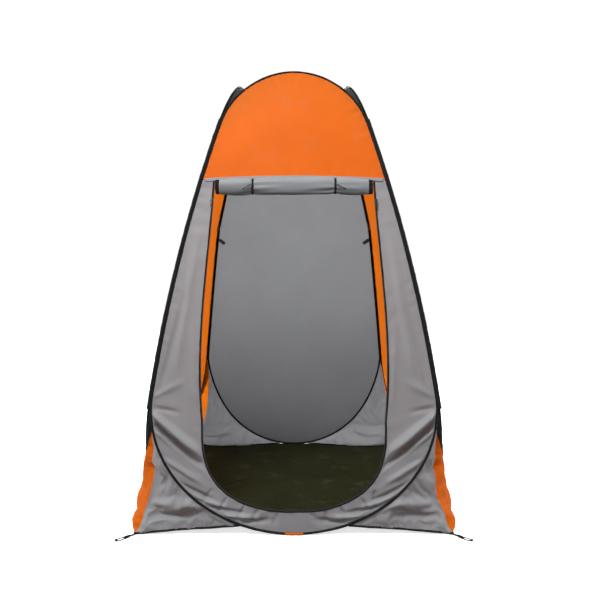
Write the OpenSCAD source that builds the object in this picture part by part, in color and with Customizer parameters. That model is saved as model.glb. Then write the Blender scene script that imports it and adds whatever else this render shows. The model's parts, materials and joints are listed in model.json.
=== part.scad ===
// Privacy shower tent: a four-sided pop-up changing tent. Each side is a closed spring-steel hoop
// in a folded cloth sleeve with a cloth panel inside it. Neighbouring hoops meet along the
// corners, part near the ground and near the crown, and triangular gussets square off the base.
// Millimetres, +Z up. The origin is on the ground under the middle, and the door faces -Y.

/* [Body] */
// Width and depth of the square base
base_w = 1220; // [1000:10:1400]
// Height of the hoops' tops above the ground
tent_h = 1890; // [1700:10:2000]
// Distance between opposite walls at the very top
top_w = 494; // [440:2:560]
// How far a wall bows out halfway up, past a straight line from base to top
wall_bow = 62; // [40:1:75]
// How far the back corners are drawn in at knee height
back_tuck = 65; // [40:1:70]

/* [Hoops] */
// Radius of the cloth sleeve around the hoop
sleeve_r = 4.5; // [4.2:0.1:5]
// Radius of the spring-steel wire
wire_r = 2; // [1.6:0.1:2.2]
// Distance from a corner line to the middle of a hoop's wire
edge_gap = 8; // [7.5:0.5:10]
// Height at which neighbouring hoops part towards the ground
meet_low = 520; // [480:10:560]
// Height at which neighbouring hoops part towards the crown
meet_top = 1620; // [1580:10:1650]

/* [Cloth] */
// Thickness of a cloth panel with its coating
cloth_t = 1; // [1:0.1:2]
// Height of the seam between the upper and the lower panel on the front
seam_z = 1394; // [1380:1:1410]
// The same on the back
back_seam_z = 1460; // [1440:1:1480]
// How far the corner seams sag in below the meeting point
corner_sag = 18; // [5:1:20]

/* [Door] */
// Half the door's width at its foot and at the seam
door_foot_w = 352; // [340:1:355]
door_top_w = 331; // [320:1:340]
// Height of the door sill above the ground
sill_z = 89; // [80:1:110]
// Height at which the door's lower corners begin
door_low = 420; // [380:5:440]

/* [Hidden] */

orange = [0.93, 0.42, 0.1];
grey = [0.56, 0.56, 0.57];
charcoal = [0.12, 0.12, 0.13];
black = [0.04, 0.04, 0.04];
olive = [0.12, 0.14, 0.08];
steel = [0.6, 0.61, 0.63];

// Faces are numbered round the tent, and corner k is at face k's left end seen from outside
front = 0;
right = 1;
back = 2;
left = 3;

// Roundness of the hoops' feet and crowns: higher is squarer
front_foot = 1.85;
back_foot = 1.4;
crown = 2.6;
foot_steps = 12;
side_steps = 8;
crown_steps = 12;
tuck_end = 1250;

// Gap between a panel's edge and the wire's middle, and between two cloth pieces of one face
panel_gap = 7.5;
cloth_gap = 1;
// Where each base hem leaves the corner and where it meets the hoop
hem_r = 3;
hem_in = 215;
hem_out = 9;
hem_lift = 33;
gusset_in = 235;

door_swell = 20;
binding_w = 8;
roll_half_h = 36;
roll_half_d = 22;
roll_len = 2 * 309;
roll_end_len = 16;
strap_x = 171;
strap_w = 9;
slider_z = 1292;

function mix(a, b, t) = a + (b - a) * t;
function unit(v) = v / norm(v);

// Half the distance between opposite walls at height z
function half(z) = let (t = z / tent_h)
    mix(base_w, top_w, t) / 2 + 4 * wall_bow * t * (1 - t);
// How far a back corner is drawn in at height z
function tuck(z) = z > tuck_end ? 0
    : back_tuck * (1 - pow(z / tuck_end, 2)) * sin(90 * min(1, z / meet_low));
function corner(k, z) = [
    (k == 0 || k == 3 ? -1 : 1) * (half(z) - (k > 1 ? tuck(z) : 0)),
    (k < 2 ? -1 : 1) * half(z),
    z
];
function outward(f) = [[0, -1, 0], [1, 0, 0], [0, 1, 0], [-1, 0, 0]][f];
function along(f) = [[1, 0, 0], [0, 1, 0], [-1, 0, 0], [0, -1, 0]][f];
// The point of face f at height z, x millimetres to the right of its middle line
function spot(f, x, z) = mix(corner(f, z), corner((f + 1) % 4, z), (x / half(z) + 1) / 2);
function spots(f, path) = [for (p = path) spot(f, p[0], p[1])];
function mirrored(path) = [for (p = path) [-p[0], p[1]]];

// The right half of a hoop's middle line as [x, z], from the ground up to the crown
function edge_x(z) = half(z) - edge_gap;
function foot_of(f) = f == back ? back_foot : front_foot;
function foot_arc(f) = [
    for (i = [0:foot_steps])
        let (a = 90 * i / foot_steps,
             z = mix(sleeve_r, meet_low, 1 - pow(cos(a), 2 / foot_of(f))))
        [edge_x(z) * sin(a), z]
];
function side_line() = [
    for (i = [1:side_steps]) let (z = mix(meet_low, meet_top, i / side_steps)) [edge_x(z), z]
];
function crown_arc() = [
    for (i = [1:crown_steps])
        let (b = 90 * (1 - i / crown_steps),
             z = mix(meet_top, tent_h - sleeve_r, pow(cos(b), 2 / crown)))
        [edge_x(z) * sin(b), z]
];
function half_hoop(f) = concat(foot_arc(f), side_line(), crown_arc());
function whole(path) = concat(
    path, [for (i = [len(path) - 2:-1:1]) [-path[i][0], path[i][1]]]
);
// Both halves of an open outline, from its left end round to its right end
function both(path) = concat(
    [for (i = [len(path) - 1:-1:1]) [-path[i][0], path[i][1]]], path
);

// A half outline moved inwards by gap, at right angles to itself. It starts at the bottom
function before(p, i) = i > 0 ? p[i - 1]
    : p[0][0] < 1 ? [-p[1][0], p[1][1]] : 2 * p[0] - p[1];
function after(p, i) = let (n = len(p) - 1) i < n ? p[i + 1]
    : p[n][0] < 1 ? [-p[n - 1][0], p[n - 1][1]] : 2 * p[n] - p[n - 1];
function inset(p, gap) = [
    for (i = [0:len(p) - 1])
        let (d = unit(after(p, i) - before(p, i)))
        p[i] + gap * [-d[1], d[0]]
];

// The right half of the door's edge as [x, z], from the sill's middle up to the seam
function door_x(z) = let (t = (z - door_low) / (seam_z - door_low))
    mix(door_foot_w, door_top_w, t) + door_swell * 6.75 * t * pow(1 - t, 2);
function door_edge() = concat(
    [for (i = [0:foot_steps])
        let (a = 90 * i / foot_steps)
        [door_foot_w * pow(sin(a), 0.9), mix(sill_z, door_low, 1 - pow(cos(a), 2 / 3))]],
    [for (i = [1:side_steps])
        let (z = mix(door_low, seam_z, i / side_steps)) [door_x(z), z]]
);

// A closed loop of points swept with a profile of [inward, outward] offsets
module sweep(path, profile, out) {
    n = len(path);
    m = len(profile);
    rings = [
        for (i = [0:n - 1])
            let (t = unit(path[(i + 1) % n] - path[(i + n - 1) % n]),
                 side = unit(cross(out, t)),
                 up = cross(t, side))
            for (q = profile) path[i] + q[0] * side + q[1] * up
    ];
    polyhedron(rings, [
        for (i = [0:n - 1], j = [0:m - 1])
            [i * m + j, (i + 1) % n * m + j,
             (i + 1) % n * m + (j + 1) % m, i * m + (j + 1) % m]
    ]);
}

// A skin between two sets of rows of points, the second one under the first
module skin(over, below) {
    n = len(over);
    m = len(over[0]);
    points = concat([for (row = over) for (p = row) p], [for (row = below) for (p = row) p]);
    under = n * m;
    polyhedron(points, concat(
        [for (i = [0:n - 2], j = [0:m - 2])
            [i * m + j, i * m + j + 1, (i + 1) * m + j + 1]],
        [for (i = [0:n - 2], j = [0:m - 2])
            [i * m + j, (i + 1) * m + j + 1, (i + 1) * m + j]],
        [for (i = [0:n - 2], j = [0:m - 2])
            [under + i * m + j, under + (i + 1) * m + j + 1, under + i * m + j + 1]],
        [for (i = [0:n - 2], j = [0:m - 2])
            [under + i * m + j, under + (i + 1) * m + j, under + (i + 1) * m + j + 1]],
        [for (i = [0:n - 2]) [i * m, (i + 1) * m, under + (i + 1) * m]],
        [for (i = [0:n - 2]) [i * m, under + (i + 1) * m, under + i * m]],
        [for (i = [0:n - 2]) let (a = i * m + m - 1) [a, under + a, under + a + m]],
        [for (i = [0:n - 2]) let (a = i * m + m - 1) [a, under + a + m, a + m]],
        [for (j = [0:m - 2]) [j, under + j, under + j + 1]],
        [for (j = [0:m - 2]) [j, under + j + 1, j + 1]],
        [for (j = [0:m - 2]) let (a = (n - 1) * m + j) [a, a + 1, under + a + 1]],
        [for (j = [0:m - 2]) let (a = (n - 1) * m + j) [a, under + a + 1, under + a]]
    ));
}

// A sheet through rows of points, as thick as the shift vector is long
module sheet(rows, shift) {
    skin([for (row = rows) [for (p = row) p + shift / 2]],
         [for (row = rows) [for (p = row) p - shift / 2]]);
}

// Rows of points between two lists of points, with `steps` strips across
function bridge(a, b, steps) = [
    for (i = [0:len(a) - 1]) [for (j = [0:steps]) mix(a[i], b[i], j / steps)]
];

module cloth(f, a, b, steps) {
    sheet(bridge(a, b, steps), cloth_t * outward(f));
}

// Cloth across a face between the mirrored halves of an outline
module panel(f, outline) {
    cloth(f, spots(f, outline), spots(f, mirrored(outline)), 6);
}

function seam_of(f) = f == back ? back_seam_z : seam_z;
function above_seam(f) = [
    for (p = concat(
        [for (i = [0:3]) let (z = mix(seam_of(f) + cloth_gap, meet_top, i / 4))
            [edge_x(z) - panel_gap, z]],
        [for (p = inset(crown_arc(), panel_gap)) if (p[1] > meet_top) p]
    )) if (p[0] > 1) p
];
function below_seam(f) = concat(
    [for (p = inset(foot_arc(f), panel_gap)) if (p[0] > 1) p],
    [for (i = [1:7]) let (z = mix(meet_low, seam_of(f) - cloth_gap, i / 7))
        [edge_x(z) - panel_gap, z]]
);

// A ring of wire seen in section, and a folded sleeve that is open towards the panel
function ring(r, sides) = [for (i = [0:sides - 1]) r * [cos(360 * i / sides), sin(360 * i / sides)]];
function fold(r, inner) = concat(
    [for (a = [40:40:320]) r * [cos(a), sin(a)]],
    [for (a = [320:-56:40]) inner * [cos(a), sin(a)]]
);

module hoop_wire(f) {
    color(steel) sweep(spots(f, whole(half_hoop(f))), ring(wire_r, 6), outward(f));
}

module hoop_sleeve(f) {
    color(black)
        sweep(spots(f, whole(half_hoop(f))), fold(sleeve_r, wire_r + 1.5), outward(f));
}

// Crimped steel tube over the joined ends of the wire, on a straight stretch of the hoop
module wire_ferrule(f) {
    path = spots(f, half_hoop(f));
    a = path[foot_steps + 3];
    b = path[foot_steps + 4];
    d = unit(b - a);
    color(steel) translate((a + b) / 2)
        rotate([0, acos(d[2]), atan2(d[1], d[0])])
            difference() {
                cylinder(h = 40, r = wire_r + 0.8, center = true, $fn = 24);
                cylinder(h = 42, r = wire_r + 0.1, center = true, $fn = 24);
            }
}

module top_panel(f) {
    color(orange) panel(f, above_seam(f));
}

module seam_tape(f) {
    heights = [seam_of(f) + 2, seam_of(f) + 12];
    x = edge_x(seam_of(f) + 12) - panel_gap;
    color(grey) translate(-2.5 * outward(f))
        panel(f, [for (z = heights) [x, z]]);
}

// The grey wall is a U round the doorway, open at the seam
module front_wall_panel() {
    gap = binding_w + cloth_gap;
    inner = inset(door_edge(), -gap);
    outer = concat(
        inset(foot_arc(front), panel_gap),
        [for (i = [1:side_steps])
            let (z = mix(meet_low, seam_z - cloth_gap, i / side_steps))
            [edge_x(z) - panel_gap, z]]
    );
    n = len(inner) - 1;
    flat = [for (i = [0:n]) i < n ? inner[i] : [inner[n][0], seam_z - cloth_gap]];
    color(grey) cloth(front, spots(front, both(outer)), spots(front, both(flat)), 3);
}

module door_edge_binding() {
    edge = [for (p = door_edge()) if (p[1] < seam_z) p];
    wide = inset(edge, -binding_w);
    color(black) sheet(
        bridge(spots(front, both(wide)), spots(front, both(edge)), 1),
        2 * cloth_t * outward(front));
}

module back_wall_panel() {
    color(grey) panel(back, below_seam(back));
}

module side_wall_panel(f) {
    outline = inset(half_hoop(f), panel_gap);
    color(orange) panel(f, [for (p = outline) if (p[0] > 1) p]);
}

// Gusset below the hoop, from the hoop's outer side to the hem and the corner seam
function sag(z) = let (t = z / meet_low) corner_sag * 4 * t * (1 - t);
function corner_seam(f, side, z) =
    let (p = corner(side > 0 ? (f + 1) % 4 : f, z),
         s = 1 - sag(z) / half(z))
    [p[0] * s, p[1] * s, z] - side * 4 * along(f);
function hem_point(f, side, x) =
    let (foot = base_w / 2 - hem_out,
         t = (foot - x) / (foot - hem_in))
    side * x * along(f) + (base_w / 2 - hem_r) * outward(f) + [0, 0, mix(hem_r, hem_lift, t)];

module gusset(f, side, tint) {
    arc = [for (p = inset(foot_arc(f), -panel_gap)) if (p[0] > gusset_in && p[1] < 470) p];
    n = len(arc) - 1;
    bend = floor(n / 2);
    base = base_w / 2 - hem_out;
    raise = [0, 0, hem_r + cloth_gap];
    outer = [
        for (i = [0:n])
            i <= bend ? hem_point(f, side, mix(gusset_in + 20, base, i / bend)) + raise
            : corner_seam(f, side, mix(hem_r + 5, arc[n][1] - 12, (i - bend) / (n - bend)))
    ];
    inner = spots(f, [for (p = arc) [side * p[0], p[1]]]);
    color(tint) cloth(f, side > 0 ? outer : inner, side > 0 ? inner : outer, 3);
}

module rod(a, b, r) {
    d = unit(b - a);
    translate(a) rotate([0, acos(d[2]), atan2(d[1], d[0])])
        cylinder(h = norm(b - a), r = r, $fn = 16);
}

module hem(f) {
    color(black) for (side = [-1, 1])
        rod(hem_point(f, side, base_w / 2 - hem_out), hem_point(f, side, hem_in), hem_r);
}

// Tape sewn over the two sleeves along a corner: outside where the corner folds shut, and
// inside where it opens out
module corner_tape(k) {
    tape_w = 12;
    lift = k % 2 == 1 ? 3 : -17;
    heights = [for (i = [0:12]) mix(meet_low + 20, meet_top - 20, i / 12)];
    sides = [sign(corner(k, 0)[0]), sign(corner(k, 0)[1])];
    out = unit([sides[0], sides[1], 0]);
    wide = [-out[1], out[0], 0] * tape_w / 2;
    path = [for (z = heights) corner(k, z) + lift * out];
    color(black) sheet(
        bridge([for (p = path) p + wide], [for (p = path) p - wide], 1),
        0.8 * out);
}

// Roof over the four crowns, as a square grid stretched to its rim: high where it meets the top
// of each hoop, low at the corners, with u and v from -1 to 1
roof_low = meet_top + 45;
roof_mid = tent_h - 45;
roof_gap = 10;
function rim_spot(f, s) =
    let (b = 90 * abs(s),
         z = mix(roof_low, tent_h - 8, pow(cos(b), 2 / crown)) - 4,
         x = sign(s) * (half(z) - roof_gap) * sin(b))
    spot(f, x, z) - roof_gap * outward(f);
function roof_spot(u, v) =
    let (r = max(abs(u), abs(v)),
         f = abs(v) >= abs(u) ? (v < 0 ? front : back) : (u > 0 ? right : left),
         s = (f == front ? u : f == right ? v : f == back ? -u : -v) / max(r, 0.001),
         p = rim_spot(f, s))
    [p[0] * r, p[1] * r, mix(roof_mid, p[2], pow(r, 1.7))];

module roof_panel() {
    n = 6;
    over = [for (i = [-n:n]) [for (j = [-n:n]) roof_spot(i / n, j / n)]];
    below = [for (row = over) [for (p = row) [p[0] * 0.994, p[1] * 0.994, p[2] - cloth_t]]];
    color(charcoal) skin(over, below);
}

module ground_sheet() {
    w = base_w - 20;
    color(olive) translate([-w / 2, -w / 2, 0]) cube([w, w, 2]);
}

// The rolled door: a flattened roll under the seam, with the door's zip at both ends
function oval(grow) = [
    for (a = [0:15:345])
        [(roll_half_h + grow) * cos(a), (roll_half_d + grow) * sin(a)]
];
roll_z = seam_z - 2 - roll_half_h;
roll_y = -half(roll_z) - 2;

module along_roll(x, len) {
    translate([x - len / 2, roll_y, roll_z]) rotate([0, 90, 0]) linear_extrude(len) children();
}

module door_roll() {
    color(grey) along_roll(0, roll_len) polygon(oval(-1));
}

module door_roll_zip_ends() {
    color(black) for (side = [-1, 1])
        along_roll(side * (roll_len + roll_end_len) / 2, roll_end_len - 0.5)
            polygon(oval(-3));
}

module roll_strap(side) {
    color(black) along_roll(side * strap_x, strap_w) difference() {
        polygon(oval(1));
        polygon(oval(-0.5));
    }
}

// Toggle stick hung on the strap, lying outwards and down across the roll
module roll_toggle(side) {
    y = roll_y - roll_half_d - 6;
    start = [side * (strap_x + 5), y, roll_z + 4];
    end = start + 44 * [side * cos(27), 0, -sin(27)];
    color(charcoal) rod(start, end, 3);
}

// Slider on the straight upper stretch of the door's edge, clear of the binding
function slider_at(side) = [
    side * (door_x(slider_z) + binding_w / 2),
    -half(slider_z) - cloth_t - 7,
    slider_z
];
// Slope of the door wall where the slider rests: its top leans in
slider_lean = atan(half(slider_z - 50) / 100 - half(slider_z + 50) / 100);

module zip_slider(side) {
    color(black) translate(slider_at(side)) rotate([-slider_lean, 0, 0]) {
        translate([-5.5, -2.5, -8]) cube([11, 4.5, 16]);
        translate([-1.5, -5.5, -4]) cube([3, 3, 9]);
    }
}

module zip_pull(side) {
    color(black) translate(slider_at(side)) rotate([-slider_lean, 0, 0]) translate([0, -7, 0])
        difference() {
            translate([-4, -0.8, -30]) cube([8, 1.6, 33]);
            translate([0, 0, -25]) rotate([90, 0, 0])
                cylinder(h = 4, r = 1.6, center = true, $fn = 24);
        }
}

module hoop_patch() {
    color(orange) translate([-34, -half(sleeve_r) - sleeve_r - 2.5, 0]) cube([68, 2, 9]);
}

// Short webbing tab on the inside of the back hoop
module inner_tab(side) {
    z = 1190;
    top = spot(back, -side * (edge_x(z) - 14), z);
    color(charcoal) translate([top[0], top[1] - 13, z])
        rotate([0, -side * 35, 0]) translate([side * -20 - 20, -1, -9]) cube([40, 2, 18]);
}

// Webbing loop that lies on the ground at a corner, with an eye for a stake
module stake_loop(k) {
    loop_len = 68;
    loop_w = 22;
    loop_t = 2.4;
    p = corner(k, 0);
    color(black) translate([p[0], p[1], 0]) rotate([0, 0, atan2(p[1], p[0])])
        difference() {
            translate([7, -loop_w / 2, 0]) cube([loop_len, loop_w, loop_t]);
            for (x = [42, 62])
                translate([x, 0, -1]) cylinder(h = 5, r = 5, $fn = 24);
            translate([42, -5, -1]) cube([20, 10, 5]);
        }
}

hoop_wire(front);  // front_hoop_wire
hoop_wire(right);  // right_hoop_wire
hoop_wire(back);  // back_hoop_wire
hoop_wire(left);  // left_hoop_wire
wire_ferrule(front);  // front_wire_ferrule
wire_ferrule(right);  // right_wire_ferrule
wire_ferrule(back);  // back_wire_ferrule
wire_ferrule(left);  // left_wire_ferrule
hoop_sleeve(front);  // front_hoop_sleeve
hoop_sleeve(right);  // right_hoop_sleeve
hoop_sleeve(back);  // back_hoop_sleeve
hoop_sleeve(left);  // left_hoop_sleeve
top_panel(front);  // front_top_panel
front_wall_panel();
seam_tape(front);  // front_seam_tape
top_panel(back);  // back_top_panel
back_wall_panel();
seam_tape(back);  // back_seam_tape
side_wall_panel(left);  // left_wall_panel
side_wall_panel(right);  // right_wall_panel
gusset(front, -1, grey);  // front_gusset_left
gusset(front, 1, grey);  // front_gusset_right
gusset(right, -1, orange);  // right_gusset_front
gusset(right, 1, orange);  // right_gusset_back
gusset(back, -1, grey);  // back_gusset_right
gusset(back, 1, grey);  // back_gusset_left
gusset(left, -1, orange);  // left_gusset_back
gusset(left, 1, orange);  // left_gusset_front
hem(front);  // front_hem
hem(right);  // right_hem
hem(back);  // back_hem
hem(left);  // left_hem
corner_tape(0);  // front_left_corner_tape
corner_tape(1);  // front_right_corner_tape
corner_tape(2);  // back_right_corner_tape
corner_tape(3);  // back_left_corner_tape
roof_panel();
ground_sheet();
door_edge_binding();
door_roll();
door_roll_zip_ends();
roll_strap(-1);  // roll_strap_left
roll_strap(1);  // roll_strap_right
roll_toggle(-1);  // roll_toggle_left
roll_toggle(1);  // roll_toggle_right
zip_slider(-1);  // zip_slider_left
zip_slider(1);  // zip_slider_right
zip_pull(-1);  // zip_pull_left
zip_pull(1);  // zip_pull_right
hoop_patch();
inner_tab(-1);  // inner_tab_left
inner_tab(1);  // inner_tab_right
stake_loop(0);  // stake_loop_front_left
stake_loop(1);  // stake_loop_front_right
stake_loop(2);  // stake_loop_back_right
stake_loop(3);  // stake_loop_back_left
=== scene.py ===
"""Looks of the privacy shower tent: cloth, bindings, zips and ties round the CAD frame."""

import json
import math

import bmesh
import bpy
import numpy as np
from mathutils import Matrix, Vector
from mathutils.bvhtree import BVHTree
from mathutils.geometry import barycentric_transform, delaunay_2d_cdt

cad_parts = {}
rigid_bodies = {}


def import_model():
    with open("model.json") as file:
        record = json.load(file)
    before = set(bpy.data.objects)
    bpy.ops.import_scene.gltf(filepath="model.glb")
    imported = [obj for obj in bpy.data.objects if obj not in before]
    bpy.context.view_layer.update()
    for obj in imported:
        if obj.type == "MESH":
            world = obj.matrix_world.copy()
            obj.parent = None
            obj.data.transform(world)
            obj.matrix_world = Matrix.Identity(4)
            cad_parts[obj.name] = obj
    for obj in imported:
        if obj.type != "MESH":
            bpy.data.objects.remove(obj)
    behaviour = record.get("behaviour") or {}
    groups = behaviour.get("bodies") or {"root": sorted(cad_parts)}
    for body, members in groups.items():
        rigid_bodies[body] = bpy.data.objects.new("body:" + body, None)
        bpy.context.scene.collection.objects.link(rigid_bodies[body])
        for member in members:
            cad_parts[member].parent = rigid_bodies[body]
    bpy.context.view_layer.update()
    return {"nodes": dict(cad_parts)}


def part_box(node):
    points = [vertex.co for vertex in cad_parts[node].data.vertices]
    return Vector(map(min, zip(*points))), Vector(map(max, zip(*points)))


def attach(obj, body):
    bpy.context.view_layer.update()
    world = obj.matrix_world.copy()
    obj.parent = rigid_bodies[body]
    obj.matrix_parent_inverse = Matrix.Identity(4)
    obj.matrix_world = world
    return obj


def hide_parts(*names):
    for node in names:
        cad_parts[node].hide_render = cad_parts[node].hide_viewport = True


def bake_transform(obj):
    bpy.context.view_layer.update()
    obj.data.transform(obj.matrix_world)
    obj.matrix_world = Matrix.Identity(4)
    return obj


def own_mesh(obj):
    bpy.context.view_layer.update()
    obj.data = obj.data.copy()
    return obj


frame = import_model()
nodes = frame["nodes"]

# ---------------------------------------------------------------- the tent's own geometry
FRONT, RIGHT, BACK, LEFT = range(4)
NAMES = ["front", "right", "back", "left"]
OUT = np.array([[0, -1, 0], [1, 0, 0], [0, 1, 0], [-1, 0, 0]], float)
ALONG = np.array([[1, 0, 0], [0, 1, 0], [-1, 0, 0], [0, -1, 0]], float)
TENT_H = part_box("front_hoop_sleeve")[1].z
BASE_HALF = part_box("ground_sheet")[1].x + 0.010
TOP_HALF = 0.247
BOW = 0.062
TUCK = 0.065
EDGE_GAP = 0.008
MEET_LOW = 0.520
MEET_TOP = 1.620
SLEEVE_R = 0.0045
SEAM_Z = 1.394
DOOR_LOW = 0.420
SILL_Z = 0.089


def mix(a, b, t):
    return a + (b - a) * t


def smooth(a, b, x):
    t = np.clip((x - a) / (b - a), 0, 1)
    return t * t * (3 - 2 * t)


def bump(x, width):
    """1 at x = 0, falling to 0 either side."""
    return np.exp(-((x / width) ** 2))


def half(z):
    """Half the distance between opposite walls at height z."""
    t = z / TENT_H
    return mix(BASE_HALF, TOP_HALF, t) + 4 * BOW * t * (1 - t)


def tuck(z):
    """How far a back corner is drawn in at height z."""
    rise = np.sin(np.pi / 2 * np.clip(z / MEET_LOW, 0, 1))
    return np.where(z > 1.25, 0, TUCK * (1 - (z / 1.25) ** 2) * rise)


def corner(k, z):
    z = np.asarray(z, float)
    x = (half(z) - (tuck(z) if k > 1 else 0)) * (-1 if k in (0, 3) else 1)
    y = half(z) * (-1 if k < 2 else 1)
    return np.stack([x, y, z], -1)


def spot(f, x, z, out=0.0):
    """Points of face f at height z, x to the right of its middle line, pushed outwards by out."""
    x, z = np.asarray(x, float), np.asarray(z, float)
    w = ((x / half(z) + 1) / 2)[..., None]
    lean = np.asarray(out, float)[..., None] * OUT[f]
    return mix(corner(f, z), corner((f + 1) % 4, z), w) + lean


def arc_length(path):
    return np.concatenate([[0], np.cumsum(np.linalg.norm(np.diff(path, axis=0), axis=1))])


def at_length(path, s):
    """Points of a path at the given lengths along it."""
    ends = arc_length(path)
    return np.stack([np.interp(s, ends, path[:, i]) for i in range(path.shape[1])], -1)


def resample(path, n):
    return at_length(path, np.linspace(0, arc_length(path)[-1], n))


def offset(path, gap, closed_top=True):
    """A half outline moved inwards by gap. It starts at the bottom of the middle line."""
    d = np.gradient(path, axis=0)
    d[0] = (1, 0)
    if closed_top:
        d[-1] = (-1, 0)
    d /= np.linalg.norm(d, axis=1)[:, None]
    return path + gap * np.stack([-d[:, 1], d[:, 0]], 1)


def half_hoop(f, gap=0.0, n=150):
    """The right half of a hoop's middle line as (x, z), moved inwards by gap."""
    a = np.linspace(0, np.pi / 2, n)
    low = mix(SLEEVE_R, MEET_LOW, 1 - np.cos(a).clip(0) ** (2 / (1.4 if f == BACK else 1.85)))
    foot = np.stack([(half(low) - EDGE_GAP) * np.sin(a), low], 1)
    side = np.linspace(MEET_LOW, MEET_TOP, n)[1:]
    line = np.stack([half(side) - EDGE_GAP, side], 1)
    b = np.linspace(np.pi / 2, 0, n)[1:]
    high = mix(MEET_TOP, TENT_H - SLEEVE_R, np.cos(b) ** (2 / 2.6))
    crown = np.stack([(half(high) - EDGE_GAP) * np.sin(b), high], 1)
    path = offset(np.concatenate([foot, line, crown]), gap)
    path[0, 0] = path[-1, 0] = 0
    return path


def door_x(z):
    t = (z - DOOR_LOW) / (SEAM_Z - DOOR_LOW)
    return mix(0.352, 0.331, t) + 0.020 * 6.75 * t * (1 - t) ** 2


def door_edge(gap=0.0, n=90):
    """The right half of the doorway's edge as (x, z), moved inwards by gap."""
    a = np.linspace(0, np.pi / 2, n)
    foot = np.stack(
        [0.352 * np.sin(a) ** 0.9, mix(SILL_Z, DOOR_LOW, 1 - np.cos(a).clip(0) ** (2 / 3))], 1
    )
    z = np.linspace(DOOR_LOW, SEAM_Z + 0.01, n)[1:]
    path = offset(np.concatenate([foot, np.stack([door_x(z), z], 1)]), gap, closed_top=False)
    path[0, 0] = 0
    return path


def seam_line(x, f=FRONT):
    """Height of the arched seam between the upper and the lower panel of a face."""
    return (1.462 if f == BACK else 1.401) - 0.0115 * (x / 0.368) ** 2


# ---------------------------------------------------------------- meshes
def make(name, co, faces, uv=None, mat=None, body=None, replaces=()):
    """A smooth mesh object from points, faces and one UV pair, in metres, for each point."""
    mesh = bpy.data.meshes.new(name)
    mesh.from_pydata(np.asarray(co, float).tolist(), [], [list(map(int, f)) for f in faces])
    mesh.validate()
    ob = bpy.data.objects.new(name, mesh)
    bpy.context.scene.collection.objects.link(ob)
    if uv is not None:
        corners = np.empty(len(mesh.loops), np.int32)
        mesh.loops.foreach_get("vertex_index", corners)
        layer = mesh.uv_layers.new(name="UVMap")
        layer.data.foreach_set("uv", np.asarray(uv, float)[corners].ravel())
    mesh.polygons.foreach_set("use_smooth", np.ones(len(mesh.polygons), bool))
    if mat:
        mesh.materials.append(mat)
    finish(ob, body, replaces)
    return ob


def finish(ob, body, replaces):
    if replaces:
        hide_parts(*([replaces] if isinstance(replaces, str) else replaces))
    if body:
        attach(ob, body)
    return ob


def grid_faces(n, m, wrap_n=False, wrap_m=False):
    """Quads of an n by m grid of points."""
    i = np.arange(n if wrap_n else n - 1)[:, None]
    j = np.arange(m if wrap_m else m - 1)[None, :]
    i2, j2 = (i + 1) % n, (j + 1) % m
    return np.stack([i * m + j, i * m + j2, i2 * m + j2, i2 * m + j], -1).reshape(-1, 4)


def thicken(ob, t=0.0008, where=0.0):
    m = ob.modifiers.new("thickness", "SOLIDIFY")
    m.thickness = t
    m.offset = where
    m.use_even_offset = False
    return ob


def dense(n, k=0.45):
    """n steps from 0 to 1, closer together at both ends."""
    x = np.linspace(0, 1, n)
    return x - k * np.sin(2 * np.pi * x) / (2 * np.pi)


def coons(bottom, right, top, left):
    """A grid of (x, z) points filling four sides. All sides run left to right or upwards."""
    u = np.linspace(0, 1, len(bottom))[None, :, None]
    v = np.linspace(0, 1, len(left))[:, None, None]
    ruled = (1 - v) * bottom[None] + v * top[None] + (1 - u) * left[:, None] + u * right[:, None]
    four = (
        (1 - u) * (1 - v) * bottom[0] + u * (1 - v) * bottom[-1]
        + (1 - u) * v * top[0] + u * v * top[-1]
    )
    return ruled - four


def signed(path, s):
    """Points of a symmetric outline at signed length s from its starting point."""
    p = at_length(path, np.abs(s))
    p[:, 0] *= np.where(s < 0, -1, 1)
    return p


def oval_grid(f, low, high, nu, nv, gap=0.0044):
    """Face f's cloth between the hoop's foot (or the seam) and the crown (or the seam)."""
    path = half_hoop(f, gap)
    s = arc_length(path)
    total = s[-1]
    seam = s[np.argmax(path[:, 1] > seam_line(path[:, 0], f))]
    s1 = 0.42 if low == "foot" else seam
    s2 = total - 0.30 if high == "crown" else seam
    u, v = dense(nu), dense(nv)
    right = signed(path, mix(s1, s2, v))
    left = right * (-1, 1)
    if low == "foot":
        bottom = signed(path, mix(-s1, s1, u))
    else:
        x = mix(-right[0, 0], right[0, 0], u)
        bottom = np.stack([x, seam_line(x, f)], 1)
    if high == "crown":
        b = 2 * u - 1
        top = signed(path, np.where(b < 0, -1, 1) * mix(total, s2, np.abs(b)))
    else:
        x = mix(-right[-1, 0], right[-1, 0], u)
        top = np.stack([x, seam_line(x, f)], 1)
    return coons(bottom, right, top, left)


def edge_distance(grid):
    """For a grid of points, each one's distance to the grid's rim and the length along it there."""
    n, m = grid.shape[:2]
    rim = np.concatenate([grid[0], grid[1:, -1], grid[-1, -2::-1], grid[-2:0:-1, 0]])
    s = arc_length(rim)
    flat = grid.reshape(-1, grid.shape[-1])
    best = np.empty(len(flat))
    along = np.empty(len(flat))
    for i in range(0, len(flat), 2000):
        d = np.linalg.norm(flat[i : i + 2000, None] - rim[None], axis=-1)
        k = d.argmin(1)
        best[i : i + 2000] = d[np.arange(len(k)), k]
        along[i : i + 2000] = s[k]
    return best.reshape(n, m), along.reshape(n, m)


def waves(x, z, seed, count=7, short=0.12, long=0.6):
    """A soft random relief of about unit height, from a few crossing waves."""
    rng = np.random.default_rng(seed)
    total = 0
    for _ in range(count):
        length = short * (long / short) ** rng.random()
        angle = rng.random() * np.pi
        phase = rng.random() * 2 * np.pi
        k = 2 * np.pi / length
        total = total + (length / long) ** 0.7 * np.sin(
            k * (x * np.cos(angle) + z * np.sin(angle)) + phase
        )
    return total / math.sqrt(count)


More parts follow.
